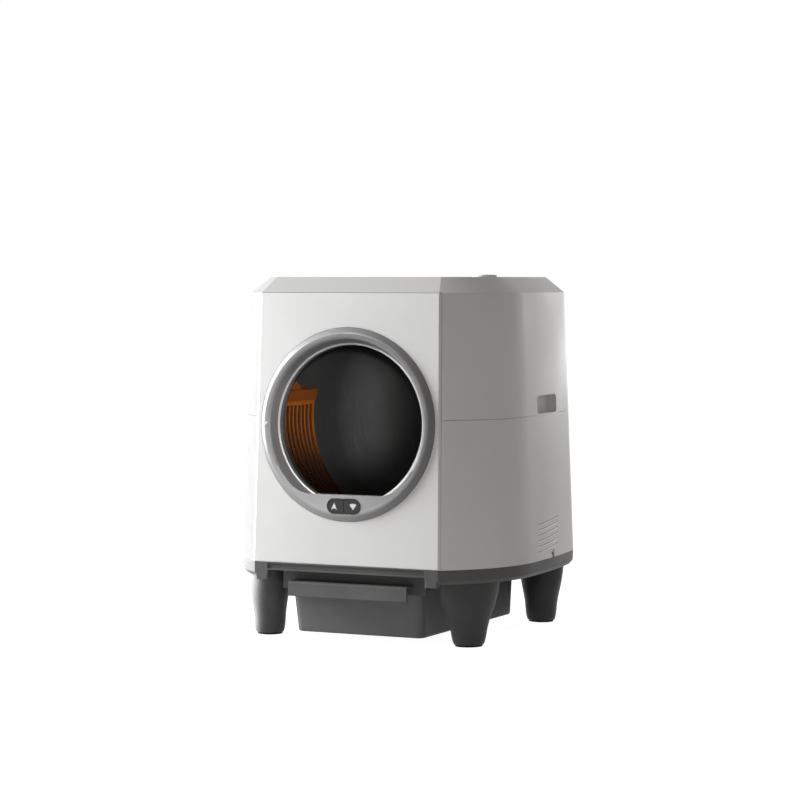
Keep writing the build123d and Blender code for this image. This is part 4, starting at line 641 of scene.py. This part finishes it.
def pale_floor():
    """Pale floor: it keeps a faint shadow, and the camera and shine see the rest of it as white."""
    mesh = bpy.data.meshes.new("floor")
    low, high = -FLOOR_HALF, FLOOR_HALF
    corners = [(low, low, 0.0), (high, low, 0.0), (high, high, 0.0), (low, high, 0.0)]
    mesh.from_pydata(corners, [], [(0, 1, 2, 3)])
    floor = bpy.data.objects.new("floor", mesh)
    bpy.context.scene.collection.objects.link(floor)
    material, tree, shader, where = start_material("pale_floor")
    tone = mixed_colour(tree, noise(tree, where, 2.0), (0.4, 0.4, 0.4), (0.44, 0.44, 0.44))
    link(tree, tone, shader.inputs["Base Color"])
    shader.inputs["Roughness"].default_value = 0.9
    glow = node(tree, "ShaderNodeEmission")
    glow.inputs["Strength"].default_value = FLOOR_WHITE
    shown = math_node(tree, "MULTIPLY", math_node(tree, "MAXIMUM", *ray_kinds(tree)), FLOOR_SHOW)
    surface = blended(tree, shown, shader.outputs[0], glow.outputs[0])
    link(tree, surface, tree.nodes["Material Output"].inputs["Surface"])
    mesh.materials.append(material)
    return floor


def photo_camera():
    """Camera at the photograph's viewpoint: level eye right of the front, aimed so the centres agree."""
    camera = bpy.data.cameras.new("camera")
    camera.sensor_width = SENSOR
    camera.lens = FOCAL / PHOTO * SENSOR
    camera.clip_end = FAR_CLIP
    holder = bpy.data.objects.new("camera", camera)
    turn = radians(AZIMUTH)
    holder.location = (DISTANCE * sin(turn), FRONT_Y - DISTANCE * cos(turn), EYE_HEIGHT)
    yaw = turn - atan((PHOTO / 2 - FRONT_CENTRE) / FOCAL)
    pitch = atan((PHOTO / 2 - HORIZON) / FOCAL)
    holder.rotation_euler = (pi / 2 - pitch, 0.0, yaw)
    bpy.context.scene.collection.objects.link(holder)
    bpy.context.scene.camera = holder


bpy.context.scene.view_settings.view_transform = "Standard"
photo_camera()
white_world(side=0.47, top=0.12, front=0.2, left=1.15, right=0.35)
floor = pale_floor()

# Pieces that some lamps are kept to, so that each comes out at its own level
SHELLS = ("lower_shell", "upper_cover")
LEFT_LEGS = ("leg_front_left", "leg_rear_left")
INSIDE = ("drum_front", "drum_rear", "sifter_screen", "sifter_bracket", "entry_seal")
shells = lit_group("shells", SHELLS)
others = lit_group("others", [name for name in nodes if name not in SHELLS], marks + [floor])
inside = lit_group("inside", INSIDE)
ring = lit_group("ring", ["entry_ring"])
left_legs = lit_group("left_legs", LEFT_LEGS)
base = lit_group("base", ["base_frame"])

area_light("key", (-1.5, -0.66, 0.95), (0.0, -0.26, 0.36), size=0.7, power=54.0, colour=COOL, only=others)
area_light("left", (-1.7, 0.15, 0.3), (-0.2, -0.15, 0.2), size=0.7, power=45.0, only=others)
area_light("wrap", (-1.45, -1.34, 1.32), (-0.1, -0.25, 0.45), size=0.5, power=29.0, colour=COOL, only=shells)
area_light("rear", (0.45, 2.1, 0.8), (0.22, 0.1, 0.45), size=0.9, power=11.0)
spot_light("cabin", (1.15, -2.5, 0.62), (-0.05, -0.2, 0.4), cone=5.4, size=0.04, power=130.0, only=inside)
spot_light("limb", (1.6, -2.2, 0.6), (-0.13, -0.25, 0.36), cone=6.6, size=0.1, power=215.0, only=ring)
area_light("brow", (-0.9, -1.3, 1.6), (0.0, -0.26, 0.4), size=0.5, power=22.0, only=ring)
spot_light("chin", (-1.0, -2.0, 0.9), (-0.03, -0.26, 0.212), cone=6.6, size=0.1, power=230.0, only=ring)
area_light("edge", (-1.9, 0.1, 0.3), (-0.2, -0.15, 0.06), size=0.6, power=100.0, only=left_legs)
area_light("band", (-1.9, 0.1, 0.3), (-0.2, -0.15, 0.1), size=0.6, power=20.0, only=base)
